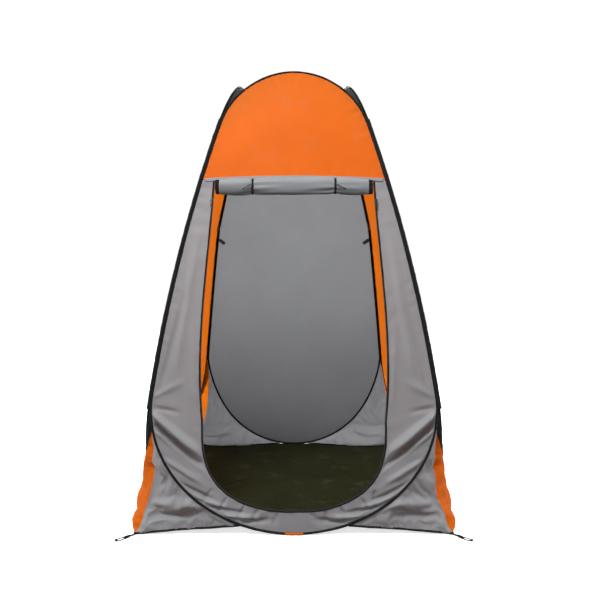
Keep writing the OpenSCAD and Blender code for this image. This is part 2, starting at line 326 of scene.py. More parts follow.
def puckers(dist, along, seed, reach=0.045, pitch=0.045):
    """Small gathers that run in from a sewn edge."""
    rng = np.random.default_rng(seed)
    total = 0
    for _ in range(4):
        k = 2 * np.pi / (pitch * (0.6 + 1.1 * rng.random()))
        total = total + np.sin(k * along + rng.random() * 6.28)
    return total / 2 * np.exp(-dist / reach) * smooth(0, 0.012, dist)


def crease(x, z, a, b, width, keep=0.25):
    """A fold's relief: 1 on the line from a to b, dying away to its sides and towards b."""
    a, b = np.array(a, float), np.array(b, float)
    d = b - a
    long = np.linalg.norm(d)
    d /= long
    t = ((x - a[0]) * d[0] + (z - a[1]) * d[1]) / long
    side = (x - a[0]) * -d[1] + (z - a[1]) * d[0]
    wide = width * mix(keep, 1, np.clip(t, 0, 1))
    fade = smooth(-0.12, 0.1, t) * (1 - smooth(0.55, 1.1, t))
    return np.exp(-((side / wide) ** 2)) * fade


def sweep(path, profile, out, closed=True):
    """Rings of a profile's (inward, outward) offsets swept along a path, and the path's lengths."""
    if closed:
        t = np.roll(path, -1, 0) - np.roll(path, 1, 0)
    else:
        t = np.gradient(path, axis=0)
    t /= np.linalg.norm(t, axis=1)[:, None]
    side = np.cross(np.broadcast_to(out, path.shape), t)
    side /= np.linalg.norm(side, axis=1)[:, None]
    up = np.cross(t, side)
    profile = np.broadcast_to(profile, (len(path),) + np.shape(profile)[-2:])
    return path[:, None] + profile[..., 0:1] * side[:, None] + profile[..., 1:2] * up[:, None]


def sweep_piece(name, path, profile, out, mat, body, replaces=(), closed=True, across=None):
    """A swept band or tube. across holds each profile point's distance from its stitch line."""
    rings = sweep(path, profile, out, closed)
    n, m = rings.shape[:2]
    around = np.asarray(profile)[-1] if np.ndim(profile) == 3 else np.asarray(profile)
    if across is None:
        across = arc_length(around)
    s = arc_length(np.concatenate([path, path[:1]]))[:n]
    uv = np.stack(
        [np.repeat(s, m), np.tile(across, n)], 1
    )
    faces = grid_faces(n, m, closed, True)[:, ::-1]
    if not closed:
        faces = [list(f) for f in faces]
        faces += [list(range(m)), list(range(n * m - 1, n * m - m - 1, -1))]
    return make(name, rings.reshape(-1, 3), faces, uv, mat, body, replaces)


# ---------------------------------------------------------------- materials
class Nodes:
    """Short names for building one material's nodes."""

    def __init__(self, name, colour, rough, sheen=0.0, metal=0.0, specular=0.5):
        self.mat = bpy.data.materials.new(name)
        self.mat.use_nodes = True
        self.tree = self.mat.node_tree
        self.shader = self.tree.nodes["Principled BSDF"]
        self.shader.inputs["Base Color"].default_value = (*colour, 1)
        self.shader.inputs["Roughness"].default_value = rough
        self.shader.inputs["Metallic"].default_value = metal
        self.shader.inputs["Specular IOR Level"].default_value = specular
        self.shader.inputs["Sheen Weight"].default_value = sheen
        self.shader.inputs["Sheen Roughness"].default_value = 0.45
        self.uv = self.add("ShaderNodeTexCoord").outputs["UV"]
        self.mat.diffuse_color = (*colour, 1)

    def add(self, kind, links=(), **values):
        node = self.tree.nodes.new(kind)
        for key, value in values.items():
            setattr(node, key, value)
        for key, value in dict(links).items():
            if isinstance(value, bpy.types.NodeSocket):
                self.tree.links.new(value, node.inputs[key])
            else:
                node.inputs[key].default_value = value
        return node

    def maths(self, what, a, b=0.0, c=0.0):
        return self.add("ShaderNodeMath", {0: a, 1: b, 2: c}, operation=what).outputs[0]

    def noise(self, scale, detail=3.0, rough=0.55, stretch=(1, 1, 1)):
        place = self.add("ShaderNodeMapping", {"Vector": self.uv, "Scale": stretch})
        return self.add(
            "ShaderNodeTexNoise",
            {"Vector": place.outputs[0], "Scale": scale, "Detail": detail, "Roughness": rough},
        ).outputs["Fac"]

    def waves(self, scale, direction="X", distortion=0.0):
        return self.add(
            "ShaderNodeTexWave",
            {"Vector": self.uv, "Scale": scale, "Distortion": distortion},
            bands_direction=direction,
        ).outputs["Fac"]

    def blend(self, fac, a, b):
        node = self.add("ShaderNodeMix", {0: fac}, data_type="RGBA")
        for socket, value in ((node.inputs[6], a), (node.inputs[7], b)):
            if isinstance(value, bpy.types.NodeSocket):
                self.tree.links.new(value, socket)
            else:
                socket.default_value = (*value, 1)
        return node.outputs[2]

    def ramp(self, value, low, high):
        """value stretched so that low becomes 0 and high becomes 1."""
        return self.add(
            "ShaderNodeMapRange", {"Value": value, "From Min": low, "From Max": high}
        ).outputs[0]

    def relief(self, height, depth, strength=1.0, onto=None):
        links = {"Height": height, "Distance": depth, "Strength": strength}
        if onto is not None:
            links["Normal"] = onto
        return self.add("ShaderNodeBump", links).outputs["Normal"]

    def paint(self, colour=None, rough=None, normal=None):
        for key, value in (("Base Color", colour), ("Roughness", rough), ("Normal", normal)):
            if value is not None:
                self.tree.links.new(value, self.shader.inputs[key])
        return self.mat


def shade(colour, by):
    return tuple(c * by for c in colour)


def plain_weave(n, pitch):
    """Height of a plain weave with that thread pitch."""
    warp = n.waves(0.31416 / pitch, "X")
    weft = n.waves(0.31416 / pitch, "Y")
    over = n.add("ShaderNodeTexChecker", {"Vector": n.uv, "Scale": 1 / pitch}).outputs["Fac"]
    return n.add("ShaderNodeMix", {0: over, 2: warp, 3: weft}).outputs[0]


def cloth_material(
    name, colour, rough=0.62, sheen=0.1, pitch=0.0011, mottled=0.07, crinkle=0.0012, through=0.0,
    foot=1.0,
):
    """Coated polyester: plain weave, faint mottling, packing crinkles and light coming through.

    foot is the tone near the floor against the tone higher up, where UV y is the height: painted
    shade that darkens the cloth towards the floor."""
    n = Nodes(name, colour, rough, sheen, specular=0.18)
    weave = plain_weave(n, pitch)
    cloud = n.noise(3.2, 4.0, 0.6)
    fine = n.noise(70.0, 2.0, 0.6)
    tone = n.blend(n.ramp(cloud, 0.3, 0.7), shade(colour, 1 - mottled), shade(colour, 1 + mottled))
    tone = n.blend(n.maths("MULTIPLY", weave, 0.16), tone, shade(colour, 1.25))
    dust = n.maths("MULTIPLY", n.ramp(n.noise(9.0, 5.0, 0.65), 0.56, 0.78), 0.10)
    tone = n.blend(dust, tone, (0.42, 0.38, 0.31))
    # Painted shade: the tone falls towards black near the floor, where UV y is low
    if foot < 1:
        height = n.add("ShaderNodeSeparateXYZ", {0: n.uv}).outputs[1]
        low = n.maths("SUBTRACT", 1.0, n.ramp(height, 0.0, 1.0))
        tone = n.blend(n.maths("MULTIPLY", n.maths("POWER", low, 1.5), 1 - foot), tone, (0, 0, 0))
    crumple = n.add(
        "ShaderNodeTexVoronoi",
        {"Vector": n.add("ShaderNodeMapping", {"Vector": n.uv, "Scale": (1, 0.7, 1)}).outputs[0],
         "Scale": 9.0},
        feature="SMOOTH_F1",
    ).outputs["Distance"]
    soft = n.relief(crumple, crinkle, 0.5)
    soft = n.relief(n.noise(24.0, 3.0, 0.5), crinkle * 0.5, 0.5, soft)
    normal = n.relief(weave, 0.00012, 0.35, soft)
    wear = n.ramp(fine, 0.2, 0.9)
    wear = n.maths("MULTIPLY_ADD", wear, 0.16, rough - 0.08)
    n.paint(tone, wear, normal)
    if through:
        lit = n.add("ShaderNodeBsdfTranslucent", {"Color": tone, "Normal": normal})
        both = n.add("ShaderNodeMixShader", {0: through, 1: n.shader.outputs[0], 2: lit.outputs[0]})
        n.tree.links.new(both.outputs[0], n.tree.nodes["Material Output"].inputs[0])
    return n.mat


def webbing_material(name, colour, pitch=0.0016, rough=0.7):
    """Woven webbing or binding: ribs across it, and a row of stitches where UV y is 0."""
    n = Nodes(name, colour, rough, 0.0, specular=0.10)
    rib = n.waves(0.31416 / pitch, "DIAGONAL")
    across = n.waves(0.31416 / pitch, "Y")
    weave = n.maths("MULTIPLY", rib, across)
    x, y, _ = n.add("ShaderNodeSeparateXYZ", {0: n.uv}).outputs
    row = n.maths("LESS_THAN", n.maths("ABSOLUTE", y), 0.0005)
    dash = n.maths("LESS_THAN", n.maths("FRACT", n.maths("DIVIDE", x, 0.0042)), 0.68)
    stitch = n.maths("MULTIPLY", row, dash)
    fuzz = n.ramp(n.noise(14.0, 4.0, 0.7), 0.35, 0.75)
    tone = n.blend(fuzz, shade(colour, 0.8), shade(colour, 1.25))
    tone = n.blend(n.maths("MULTIPLY", weave, 0.3), tone, shade(colour, 1.8))
    tone = n.blend(stitch, tone, (0.045, 0.045, 0.047))
    normal = n.relief(n.noise(45.0, 3.0), 0.0006, 0.5)
    normal = n.relief(weave, 0.00025, 0.6, normal)
    normal = n.relief(stitch, 0.0005, 0.8, normal)
    return n.paint(tone, n.maths("MULTIPLY_ADD", fuzz, 0.12, rough - 0.06), normal)


def hard_material(name, colour, rough, metal, scratches=0.5):
    """Moulded plastic or drawn metal: fine drawing lines, smudges and rubbed spots."""
    n = Nodes(name, colour, rough, 0.0, metal)
    place = n.add("ShaderNodeTexCoord").outputs["Object"]
    n.uv = place
    lines = n.noise(220.0, 2.0, 0.6, (1, 1, 0.08))
    smudge = n.ramp(n.noise(60.0, 4.0, 0.6), 0.35, 0.7)
    tone = n.blend(smudge, shade(colour, 0.85), shade(colour, 1.2))
    normal = n.relief(lines, 0.0001, scratches)
    return n.paint(tone, n.maths("MULTIPLY_ADD", smudge, 0.18, rough - 0.09), normal)


ORANGE = (0.770, 0.158, 0.002)
GREY = (0.262, 0.266, 0.280)
CHARCOAL = (0.030, 0.030, 0.033)
BLACK = (0.0042, 0.0042, 0.0046)
orange_cloth = cloth_material("orange_cloth", ORANGE, 0.62, 0.02, mottled=0.05, through=0.45)
grey_cloth = cloth_material("grey_cloth", GREY, 0.52, mottled=0.06, through=0.22)
# The back wall's grey cloth, with painted shade darkening it towards the floor
grey_cloth_painted_shade = cloth_material("grey_cloth_painted_foot_shade", GREY, 0.6, mottled=0.06, through=0.25, foot=0.30)
charcoal_cloth = cloth_material("charcoal_cloth", shade(CHARCOAL, 0.4), 0.7, 0.0, mottled=0.15)
floor_cloth = cloth_material(
    "olive_groundsheet", (0.0110, 0.0165, 0.0036), 0.8, 0.0, 0.0022, 0.25, 0.002
)
binding = webbing_material("black_binding", BLACK, 0.0014)
webbing = webbing_material("black_webbing", shade(BLACK, 1.2), 0.002)
grey_webbing = webbing_material("charcoal_webbing", (0.060, 0.058, 0.060), 0.002)
steel = hard_material("spring_steel", (0.42, 0.43, 0.45), 0.3, 1.0)
zip_metal = hard_material("zip_metal", (0.02, 0.02, 0.021), 0.38, 0.6, 0.3)
zip_teeth = hard_material("zip_teeth", (0.012, 0.012, 0.013), 0.42, 0.0, 0.3)
toggle_plastic = hard_material("toggle_plastic", (0.012, 0.012, 0.013), 0.45, 0.0, 0.3)

for name, ob in nodes.items():
    metal = name.endswith(("_wire", "_ferrule"))
    ob.data.materials.clear()
    ob.data.materials.append(steel if metal else binding)

# ---------------------------------------------------------------- camera, light and floor
scene = bpy.context.scene
camera = bpy.data.objects.new("camera", bpy.data.cameras.new("camera"))
scene.collection.objects.link(camera)
scene.camera = camera
camera.data.sensor_width = 36
camera.data.lens = 34.89
camera.data.shift_x = 0.010
camera.data.shift_y = -0.0347
camera.location = (0, -2.815, 0.971)
camera.rotation_euler = (math.pi / 2, 0, 0)
scene.view_settings.view_transform = "Standard"
scene.view_settings.look = "None"

world = bpy.data.worlds.new("studio")
scene.world = world
world.use_nodes = True
sky = world.node_tree.nodes["Background"]
height = world.node_tree.nodes.new("ShaderNodeSeparateXYZ")
world.node_tree.links.new(
    world.node_tree.nodes.new("ShaderNodeTexCoord").outputs["Generated"], height.inputs[0]
)
level = world.node_tree.nodes.new("ShaderNodeMapRange")
for key, value in (("From Min", -0.6), ("From Max", 0.5), ("To Min", 0.06), ("To Max", 0.38)):
    level.inputs[key].default_value = value
world.node_tree.links.new(height.outputs["Z"], level.inputs["Value"])
world.node_tree.links.new(level.outputs[0], sky.inputs["Strength"])
sky.inputs["Color"].default_value = (1, 1, 1, 1)


def softbox(name, place, target, size, power):
    data = bpy.data.lights.new(name, "AREA")
    data.shape = "RECTANGLE"
    data.size, data.size_y = size
    data.energy = power
    ob = bpy.data.objects.new(name, data)
    scene.collection.objects.link(ob)
    ob.location = place
    aim = Vector(target) - Vector(place)
    ob.rotation_euler = aim.to_track_quat("-Z", "Y").to_euler()
    ob.visible_camera = False
    return ob


softbox("key", (-0.9, -3.0, 4.5), (0, -0.3, 0.7), (1.4, 1.4), 228)
softbox("fill", (0.3, -4.8, 1.5), (0, 0, 1.1), (1.8, 1.6), 20)
softbox("left_side", (-4.4, -0.8, 2.4), (0, 0, 0.8), (2.2, 2.2), 110)
softbox("right_side", (4.4, -0.4, 2.4), (0, 0, 0.8), (2.2, 2.2), 120)
softbox("behind", (0.1, 2.3, 2.8), (0, 0.5, 1.3), (1.3, 1.1), 150)
softbox("above", (0, 0.4, 5.4), (0, 0, 0), (3.6, 3.6), 75)


def studio():
    """A pale round floor, and a white wall round it that only the camera sees."""
    n = 64
    turn = np.linspace(0, 2 * np.pi, n, endpoint=False)
    radii = [0.02, 1.0, 2.0, 4.0, 9.0]
    co = [(r * math.cos(a), r * math.sin(a), -0.0006) for r in radii for a in turn]
    floor = make("studio_floor", co, grid_faces(len(radii), n, wrap_m=True)[:, ::-1])
    m = Nodes("pale_floor", (0.93, 0.93, 0.93), 0.9, specular=0.1)
    m.uv = m.add("ShaderNodeTexCoord").outputs["Object"]
    tone = m.blend(m.noise(1.5, 3.0), (0.925, 0.925, 0.925), (0.945, 0.945, 0.945))
    x, y, _ = m.add("ShaderNodeSeparateXYZ", {0: m.uv}).outputs
    far = m.maths("SQRT", m.maths("ADD", m.maths("MULTIPLY", x, x), m.maths("MULTIPLY", y, y)))
    glow = m.maths("MULTIPLY_ADD", m.ramp(far, 1.2, 4.2), 0.30, 0.68)
    m.tree.links.new(glow, m.shader.inputs["Emission Strength"])
    m.shader.inputs["Emission Color"].default_value = (1, 1, 1, 1)
    floor.data.materials.append(m.paint(tone, None, m.relief(m.noise(180.0), 0.0003, 0.3)))
    rise = np.linspace(-0.12, np.pi / 2 - 0.01, 14)
    co = [
        (9 * math.cos(e) * math.cos(a), 9 * math.cos(e) * math.sin(a), 9 * math.sin(e))
        for e in rise for a in turn
    ]
    wall = make("studio_wall", co, grid_faces(len(rise), n, wrap_m=True))
    m = Nodes("white_wall", (0.0, 0.0, 0.0), 1.0, specular=0.0)
    m.shader.inputs["Emission Color"].default_value = (1, 1, 1, 1)
    m.shader.inputs["Emission Strength"].default_value = 1.02
    wall.data.materials.append(m.mat)
    wall.visible_diffuse = wall.visible_glossy = wall.visible_transmission = False
    wall.visible_shadow = wall.visible_volume_scatter = False
    floor.visible_diffuse = False


studio()

# ---------------------------------------------------------------- hoop sleeves
R = 0.0041
around = np.radians(np.linspace(24, 336, 11))
SLEEVE = np.concatenate(
    [[(0.0058, 0.0007)], R * np.stack([np.cos(around), np.sin(around)], 1), [(0.0058, -0.0007)]]
)


def from_stitches(profile, line):
    """Distance round a folded band from its stitch line, on both of its sides."""
    s = arc_length(profile)
    return np.minimum(s, s[-1] - s) - line


def gathered(profile, n, seed, amount=0.0003):
    """The profile at n places along a sewn band, a little uneven from place to place."""
    rng = np.random.default_rng(seed)
    rough = rng.normal(0, 1, (n, len(profile)))
    for _ in range(2):
        rough = (rough + np.roll(rough, 1, 0) + np.roll(rough, -1, 0)) / 3 * 1.35
    rough = (rough + np.roll(rough, 1, 1)) / 1.4
    lengths = np.linalg.norm(profile, axis=1)[:, None]
    return profile[None] * (1 + amount * rough[..., None] / lengths[None])


def whole_hoop(f, gap=0.0, step=0.009):
    """The closed middle line of a hoop as (x, z), evenly spaced."""
    path = half_hoop(f, gap)
    path = np.concatenate([path, path[-2:0:-1] * (-1, 1)])
    loop = np.concatenate([path, path[:1]])
    n = int(arc_length(loop)[-1] / step)
    return resample(loop, n + 1)[:-1]


for f in range(4):
    line = whole_hoop(f)
    sweep_piece(
        f"{NAMES[f]}_sleeve", spot(f, line[:, 0], line[:, 1]),
        gathered(SLEEVE, len(line), 10 + f), OUT[f], binding, NAMES[f],
        f"{NAMES[f]}_hoop_sleeve", across=from_stitches(SLEEVE, 0.0009),
    )


# ---------------------------------------------------------------- cloth panels inside the hoops
def cloth_piece(name, f, grid, relief, mat, replaces):
    """A panel of face f from a grid of (x, z) points and its relief in metres."""
    n, m = grid.shape[:2]
    x, z = grid[..., 0].ravel(), grid[..., 1].ravel()
    ob = make(
        name, spot(f, x, z, np.ravel(relief)), grid_faces(n, m), np.stack([x, z], 1),
        mat, NAMES[f], replaces,
    )
    return ob


def taut(grid, seed, swell, soft, gather, reach=0.05, pitch=0.05):
    """Relief of cloth stretched in its hoop: a faint swell, slack waves and edge puckers."""
    dist, along = edge_distance(grid)
    x, z = grid[..., 0], grid[..., 1]
    inner = smooth(0, 0.16, dist)
    return (
        swell * smooth(0, 0.30, dist)
        + soft * inner * waves(x, z, seed)
        + gather * puckers(dist, along, seed + 1, reach, pitch)
    )


def front_folds(x, z):
    """The door wall's own folds: from the hoop's pinch, the sill and the door's sides."""
    total = 0
    for side, seed in ((-1, 3), (1, 4)):
        rng = np.random.default_rng(seed)
        u = x * side
        total = total + 0.028 * crease(u, z, (0.560, 0.465), (0.325, 0.270), 0.018, 0.30)
        total = total - 0.036 * crease(u, z, (0.558, 0.425), (0.315, 0.225), 0.019, 0.30)
        total = total + 0.014 * crease(u, z, (0.545, 0.395), (0.290, 0.195), 0.011, 0.5)
        total = total - 0.010 * crease(u, z, (0.560, 0.478), (0.440, 0.455), 0.009, 0.4)
        total = total + 0.009 * crease(u, z, (0.560, 0.505), (0.420, 0.580), 0.011, 0.4)
        for i in range(6):
            t = i / 5
            a = (mix(0.50, 0.20, t), mix(0.285, 0.045, t**0.6))
            b = (a[0] - mix(0.16, 0.12, t), a[1] + mix(-0.10, 0.012, t))
            up = 0.0105 + 0.004 * rng.random()
            total = total + (-1) ** i * up * crease(u, z, a, b, 0.009 + 0.003 * rng.random(), 0.5)
        for i in range(5):
            x0 = 0.05 + 0.062 * i + 0.02 * rng.random()
            top = SILL_Z + 0.10 * (x0 / 0.35) ** 2.4
            a = (x0, top)
            b = (x0 + rng.normal(0.035, 0.02), top - 0.06)
            total = total - 0.0065 * crease(u, z, a, b, 0.005 + 0.003 * rng.random(), 0.7)
        total = total + 0.009 * crease(u, z, (0.46, 0.62), (0.385, 1.18), 0.016, 0.8)
        total = total - 0.008 * crease(u, z, (0.52, 0.55), (0.42, 0.95), 0.012, 0.8)
        total = total + 0.005 * crease(u, z, (0.38, 0.50), (0.40, 0.80), 0.012, 0.8)
    return total


grid = oval_grid(FRONT, "seam", "crown", 84, 58)
cloth_piece(
    "front_dome", FRONT, grid, taut(grid, 21, 0.010, 0.0016, 0.0011), orange_cloth,
    "front_top_panel",
)
grid = oval_grid(BACK, "seam", "crown", 84, 58)
cloth_piece(
    "back_dome", BACK, grid, taut(grid, 31, 0.010, 0.0018, 0.0012), orange_cloth,
    "back_top_panel",
)
# The back wall's cloth carries painted shade towards its foot
grid = oval_grid(BACK, "foot", "seam", 100, 116)
cloth_piece(
    "back_wall", BACK, grid, taut(grid, 41, 0.006, 0.0026, 0.0022, 0.06, 0.06), grey_cloth_painted_shade,
    "back_wall_panel",
)
for f, seed in ((LEFT, 51), (RIGHT, 61)):
    grid = oval_grid(f, "foot", "crown", 100, 140)
    relief = taut(grid, seed, 0.008, 0.0034, 0.0024, 0.07, 0.07)
    x, z = grid[..., 0], grid[..., 1]
    for side in (-1, 1):
        for a, b, w in (
            ((0.53, 0.50), (0.30, 0.22), 0.018), ((0.53, 0.58), (0.22, 0.40), 0.022),
            ((0.50, 0.70), (0.40, 1.15), 0.02), ((0.52, 0.44), (0.40, 0.16), 0.014),
        ):
            relief = relief + 0.005 * crease(x * side, z, a, b, w, 0.5)
    cloth_piece(
        f"{NAMES[f]}_wall", f, grid, relief, orange_cloth,
        f"{NAMES[f]}_wall_panel",
    )


def door_wall_grid():
    """Grid of the front wall's band, from the hoop on one side of the doorway to the other."""
    outer = half_hoop(FRONT, 0.0044)
    outer = outer[outer[:, 1] <= seam_line(outer[:, 0])]
    inner = door_edge(-0.0045)
    end = outer[-1, 1]
    n = 210
    share = np.linspace(0, 1, n)
    z_out = MEET_LOW
    s = arc_length(outer)
    foot = np.interp(z_out, outer[:, 1], s)
    s_in = arc_length(inner)
    low = s_in[np.argmax(inner[:, 1] >= DOOR_LOW)]
    top = np.interp(end, inner[:, 1], s_in)
    at_out = share * s[-1]
    at_in = np.where(
        at_out < foot, at_out / foot * low, low + (at_out - foot) / (s[-1] - foot) * (top - low)
    )
    a, b = at_length(outer, at_out), at_length(inner, at_in)
    b[-1, 1] = a[-1, 1]
    a, b = (np.concatenate([p[:0:-1] * (-1, 1), p]) for p in (a, b))
    t = dense(22, 0.3)[None, :, None]
    return mix(a[:, None], b[:, None], t)


grid = door_wall_grid()[:, ::-1]
x, z = grid[..., 0], grid[..., 1]
width = np.linalg.norm(grid[:, 0] - grid[:, -1], axis=1)[:, None]
t = dense(22, 0.3)[None, ::-1]
s_mid = arc_length(grid[:, 11])[:, None]
relief = front_folds(x, z) * smooth(0, 0.02, (1 - t) * width) * smooth(0, 0.02, t * width)
relief = relief + 0.0015 * waves(x, z, 71, 8, 0.06, 0.35) * np.sin(np.pi * t)
relief = relief + 0.0012 * puckers((1 - t) * width, s_mid, 72, 0.04, 0.06)
relief = relief + 0.0012 * puckers(t * width, s_mid, 73, 0.035, 0.05)
ob = cloth_piece(
    "front_wall", FRONT, grid, relief, grey_cloth, "front_wall_panel",
)

# ---------------------------------------------------------------- corner gussets
SIDES = {0: (-1, -1), 1: (1, -1), 2: (1, 1), 3: (-1, 1)}
HEM_Z, HEM_R = 0.0030, 0.0030
HEM_IN, HEM_RISE = 0.215, 0.033


def hem_end(f):
    """Where a base hem reaches its hoop's foot, from the face's middle."""
    return 0.10 if f == BACK else HEM_IN


def hem_line(f, x, lift=0.0):
    """The base hem's middle line of face f, x from the face's middle (x keeps its sign)."""
    u = np.abs(np.asarray(x, float))
    t = np.clip((BASE_HALF - 0.009 - u) / (BASE_HALF - 0.009 - hem_end(f)), 0, 1)
    rise, dent = (0.002, 0.055) if f == BACK else (HEM_RISE, 0.006)
    pull = dent * np.sin(np.pi * t**0.75) ** 1.3
    co = x[:, None] * ALONG[f] + (BASE_HALF - HEM_R - pull)[:, None] * OUT[f]
    co[:, 2] = mix(HEM_Z, rise, t) + lift
    return co


def corner_spot(k, q, z):
    """Points round corner k: q metres along face k where positive, along face k - 1 where not."""
    h = half(z)
    before, after = spot((k - 1) % 4, h + q, z), spot(k, q - h, z)
    return np.where((q < 0)[:, None], before, after)


def gusset_rim(f, step):
    """(q, z) from the corner's foot along the hem and up the hoop to where the hoops meet."""
    arc = half_hoop(f, -0.0036)
    arc = arc[(arc[:, 0] > (0.075 if f == BACK else 0.222)) & (arc[:, 1] < 0.505)]
    x0 = arc[0, 0]
    hem = np.linspace(BASE_HALF, x0, 40)
    hem = np.stack([hem, hem_line(f, hem)[:, 2] + 0.0015], 1)
    arc = resample(arc, int(arc_length(arc)[-1] / step))
    hem = resample(hem, int(arc_length(hem)[-1] / step))
    path = np.concatenate([hem[:-1], arc])
    q = half(path[:, 1]) - path[:, 0]
    q[0] = 0
    q[-1] = 0
    return np.stack([q.clip(0), path[:, 1]], 1)


def corner_cloth(k, step=0.0095):
    """Points (q, z), triangles and the pinned points of the cloth round corner k."""
    a = gusset_rim(k, step)
    b = gusset_rim((k - 1) % 4, step)
    b[-1] = a[-1]
    rim = np.concatenate([a, b[-2:0:-1] * (-1, 1)])
    top, low = a[-1, 1], a[0, 1]
    seam = np.linspace(low, top, int((top - low) / step) + 1)[1:-1]
    seam = np.stack([np.zeros_like(seam), seam], 1)
    zs = np.arange(0.004, top, step * 0.866)
    fill = []
    for i, z in enumerate(zs):
        q = np.arange(-0.40, 0.40, step) + (step / 2 if i % 2 else 0)
        fill.append(np.stack([q, np.full_like(q, z)], 1))
    fill = np.concatenate(fill)
    nxt = np.roll(rim, -1, 0)
    inside = np.zeros(len(fill), bool)
    for p, n in zip(rim, nxt):
        cross = (p[1] > fill[:, 1]) != (n[1] > fill[:, 1])
        at = p[0] + (fill[:, 1] - p[1]) * (n[0] - p[0]) / (n[1] - p[1] + 1e-12)
        inside ^= cross & (fill[:, 0] < at)
    fixed = np.concatenate([rim, seam])
    near = np.linalg.norm(fill[:, None] - fixed[None], axis=-1).min(1)
    fill = fill[inside & (near > 0.62 * step) & (np.abs(fill[:, 0]) > 0.5 * step)]
    points = np.concatenate([fixed, fill])
    r, c = len(rim), len(seam)
    line = [0, *range(r, r + c), len(a) - 1]
    edges = list(zip(line[:-1], line[1:]))
    made = delaunay_2d_cdt(
        [Vector(p) for p in points], edges, [list(range(r))], 1, 1e-6
    )
    co = np.array([tuple(v) for v in made[0]])
    pinned = [i for i, was in enumerate(made[3]) if any(w < r for w in was)]
    return co, [tuple(f) for f in made[2]], pinned


def drape(ob, pinned, frames, shrink, gravity=1.0, bend=0.05):
    """Lets Blender's cloth hang from its pinned points, and returns where the points come to."""
    pins = ob.vertex_groups.new(name="pins")
    pins.add(pinned, 1.0, "REPLACE")
    cloth = ob.modifiers.new("cloth", "CLOTH")
    s = cloth.settings
    s.vertex_group_mass = "pins"
    s.quality = 7
    s.mass = 0.12
    s.air_damping = 3.0
    s.tension_stiffness = s.compression_stiffness = 14
    s.shear_stiffness = 4
    s.tension_damping = s.compression_damping = 8
    s.bending_stiffness = bend
    s.bending_damping = 1.5
    s.shrink_min = shrink
    s.effector_weights.gravity = gravity
    cloth.point_cache.frame_start = 1
    cloth.point_cache.frame_end = frames
    for i in range(1, frames + 1):
        scene.frame_set(i)
    shape = ob.evaluated_get(bpy.context.evaluated_depsgraph_get())
    co = np.empty(len(ob.data.vertices) * 3)
    shape.data.vertices.foreach_get("co", co)
    ob.modifiers.remove(cloth)
    ob.vertex_groups.remove(pins)
    scene.frame_set(1)
    return co.reshape(-1, 3)


def seam_sag(k, z):
    """How far the corner's seam hangs in from the line through its ends."""
    t = np.clip(z / MEET_LOW, 0, 1)
    return (0.0 if k == 2 else 0.046) * np.sin(np.pi * t**0.8) ** 0.9


def rim_reach(f, z):
    """How far from the corner the hoop is at height z."""
    arc = half_hoop(f, -0.0036)
    arc = arc[arc[:, 1] < 0.51]
    return np.maximum(half(z) - np.interp(z, arc[:, 1], arc[:, 0]), 1e-4)


def corner_shape(k, q, z):
    """Where the slack cloth round corner k starts from: sagging seam and its deepest folds."""
    co = corner_spot(k, q, z)
    sx, sy = SIDES[k]
    reach = np.where(q < 0, rim_reach((k - 1) % 4, z), rim_reach(k, z))
    near = (1 - np.clip(np.abs(q) / reach, 0, 1)) ** 1.2
    sag = seam_sag(k, z) * near
    co[:, 0] -= sx * sag
    co[:, 1] -= sy * sag
    rng = np.random.default_rng(80 + k)
    for s in (-1, 1):
        f = k if s > 0 else (k - 1) % 4
        u = q * s
        part = (u > 0) * smooth(0, 0.03, u) * smooth(0, 0.03, z) * smooth(0, 0.03, reach - u)
        push = 0.020 * crease(u, z, (0.04, 0.115), (0.30, 0.112), 0.018, 0.9)
        push = push - 0.018 * crease(u, z, (0.02, 0.060), (0.28, 0.085), 0.015, 0.9)
        push = push + 0.010 * crease(u, z, (0.05, 0.050), (0.30, 0.048), 0.010, 0.9)
        push = push - 0.012 * crease(u, z, (0.30, 0.115), (0.20, 0.150), 0.010, 0.7)
        push = push + 0.010 * crease(u, z, (0.03, 0.40), (0.14, 0.17), 0.012, 0.7)
        push = push - 0.010 * crease(u, z, (0.02, 0.33), (0.12, 0.19), 0.010, 0.7)
        push = push + 0.004 * waves(u, z, rng.integers(1000), 6, 0.06, 0.2)
        if f in (LEFT, RIGHT):
            push = 0.3 * push
        co += (push * part)[:, None] * OUT[f]
        low = part_of_hem(f, u, z) * smooth(0, 0.04, reach - u)
        target = hem_line(f, s * (half(z) - u))
        co += low[:, None] * ((target - co) @ OUT[f])[:, None] * OUT[f]
    return co


def part_of_hem(f, u, z):
    """1 where a gusset's cloth is sewn to the hem, falling to 0 a little way above it."""
    x = half(z) - u
    return (u >= 0) * (1 - smooth(0, 0.10, z - hem_line(f, x)[:, 2])) * smooth(0, 0.02, u)


# Which two bodies meet at a corner, or None at the open corner
HINGED = {0: ("left", "front"), 1: ("front", "right"), 2: None, 3: ("back", "left")}


def bend_corner(ob, k, f):
    """At the open corner, puts a piece of face f on that face's body; elsewhere only bakes its
    place into its points and leaves it on no body.
    """
    if HINGED[k] is None:
        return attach(ob, NAMES[f])
    sx, sy = SIDES[k]
    over = np.array([-sy, sx, 0.0]) / math.sqrt(2)
    foot = np.array([sx * BASE_HALF, sy * BASE_HALF, 0.0])
    up = corner(k, [0.45])[0] - foot
    up /= np.linalg.norm(up)
    over -= up * (over @ up)
    over /= np.linalg.norm(over)
    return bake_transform(ob)


BILLOW_Z = (0, 0.02, 0.045, 0.08, 0.13, 0.22, 0.38)
BILLOW_OUT = (0, 0.026, 0.039, 0.041, 0.034, 0.022, 0)


def billow(f, u, z):
    """How far a side gusset's slack cloth swells outwards above the hem."""
    high = np.interp(z, BILLOW_Z, BILLOW_OUT)
    reach = rim_reach(f, z)
    part = np.clip(u / np.minimum(reach, 0.34), 0, 1) ** 0.62
    return high * (u > 0) * np.sin(np.pi * part) ** 0.8


CORNER_CLOTH = {}


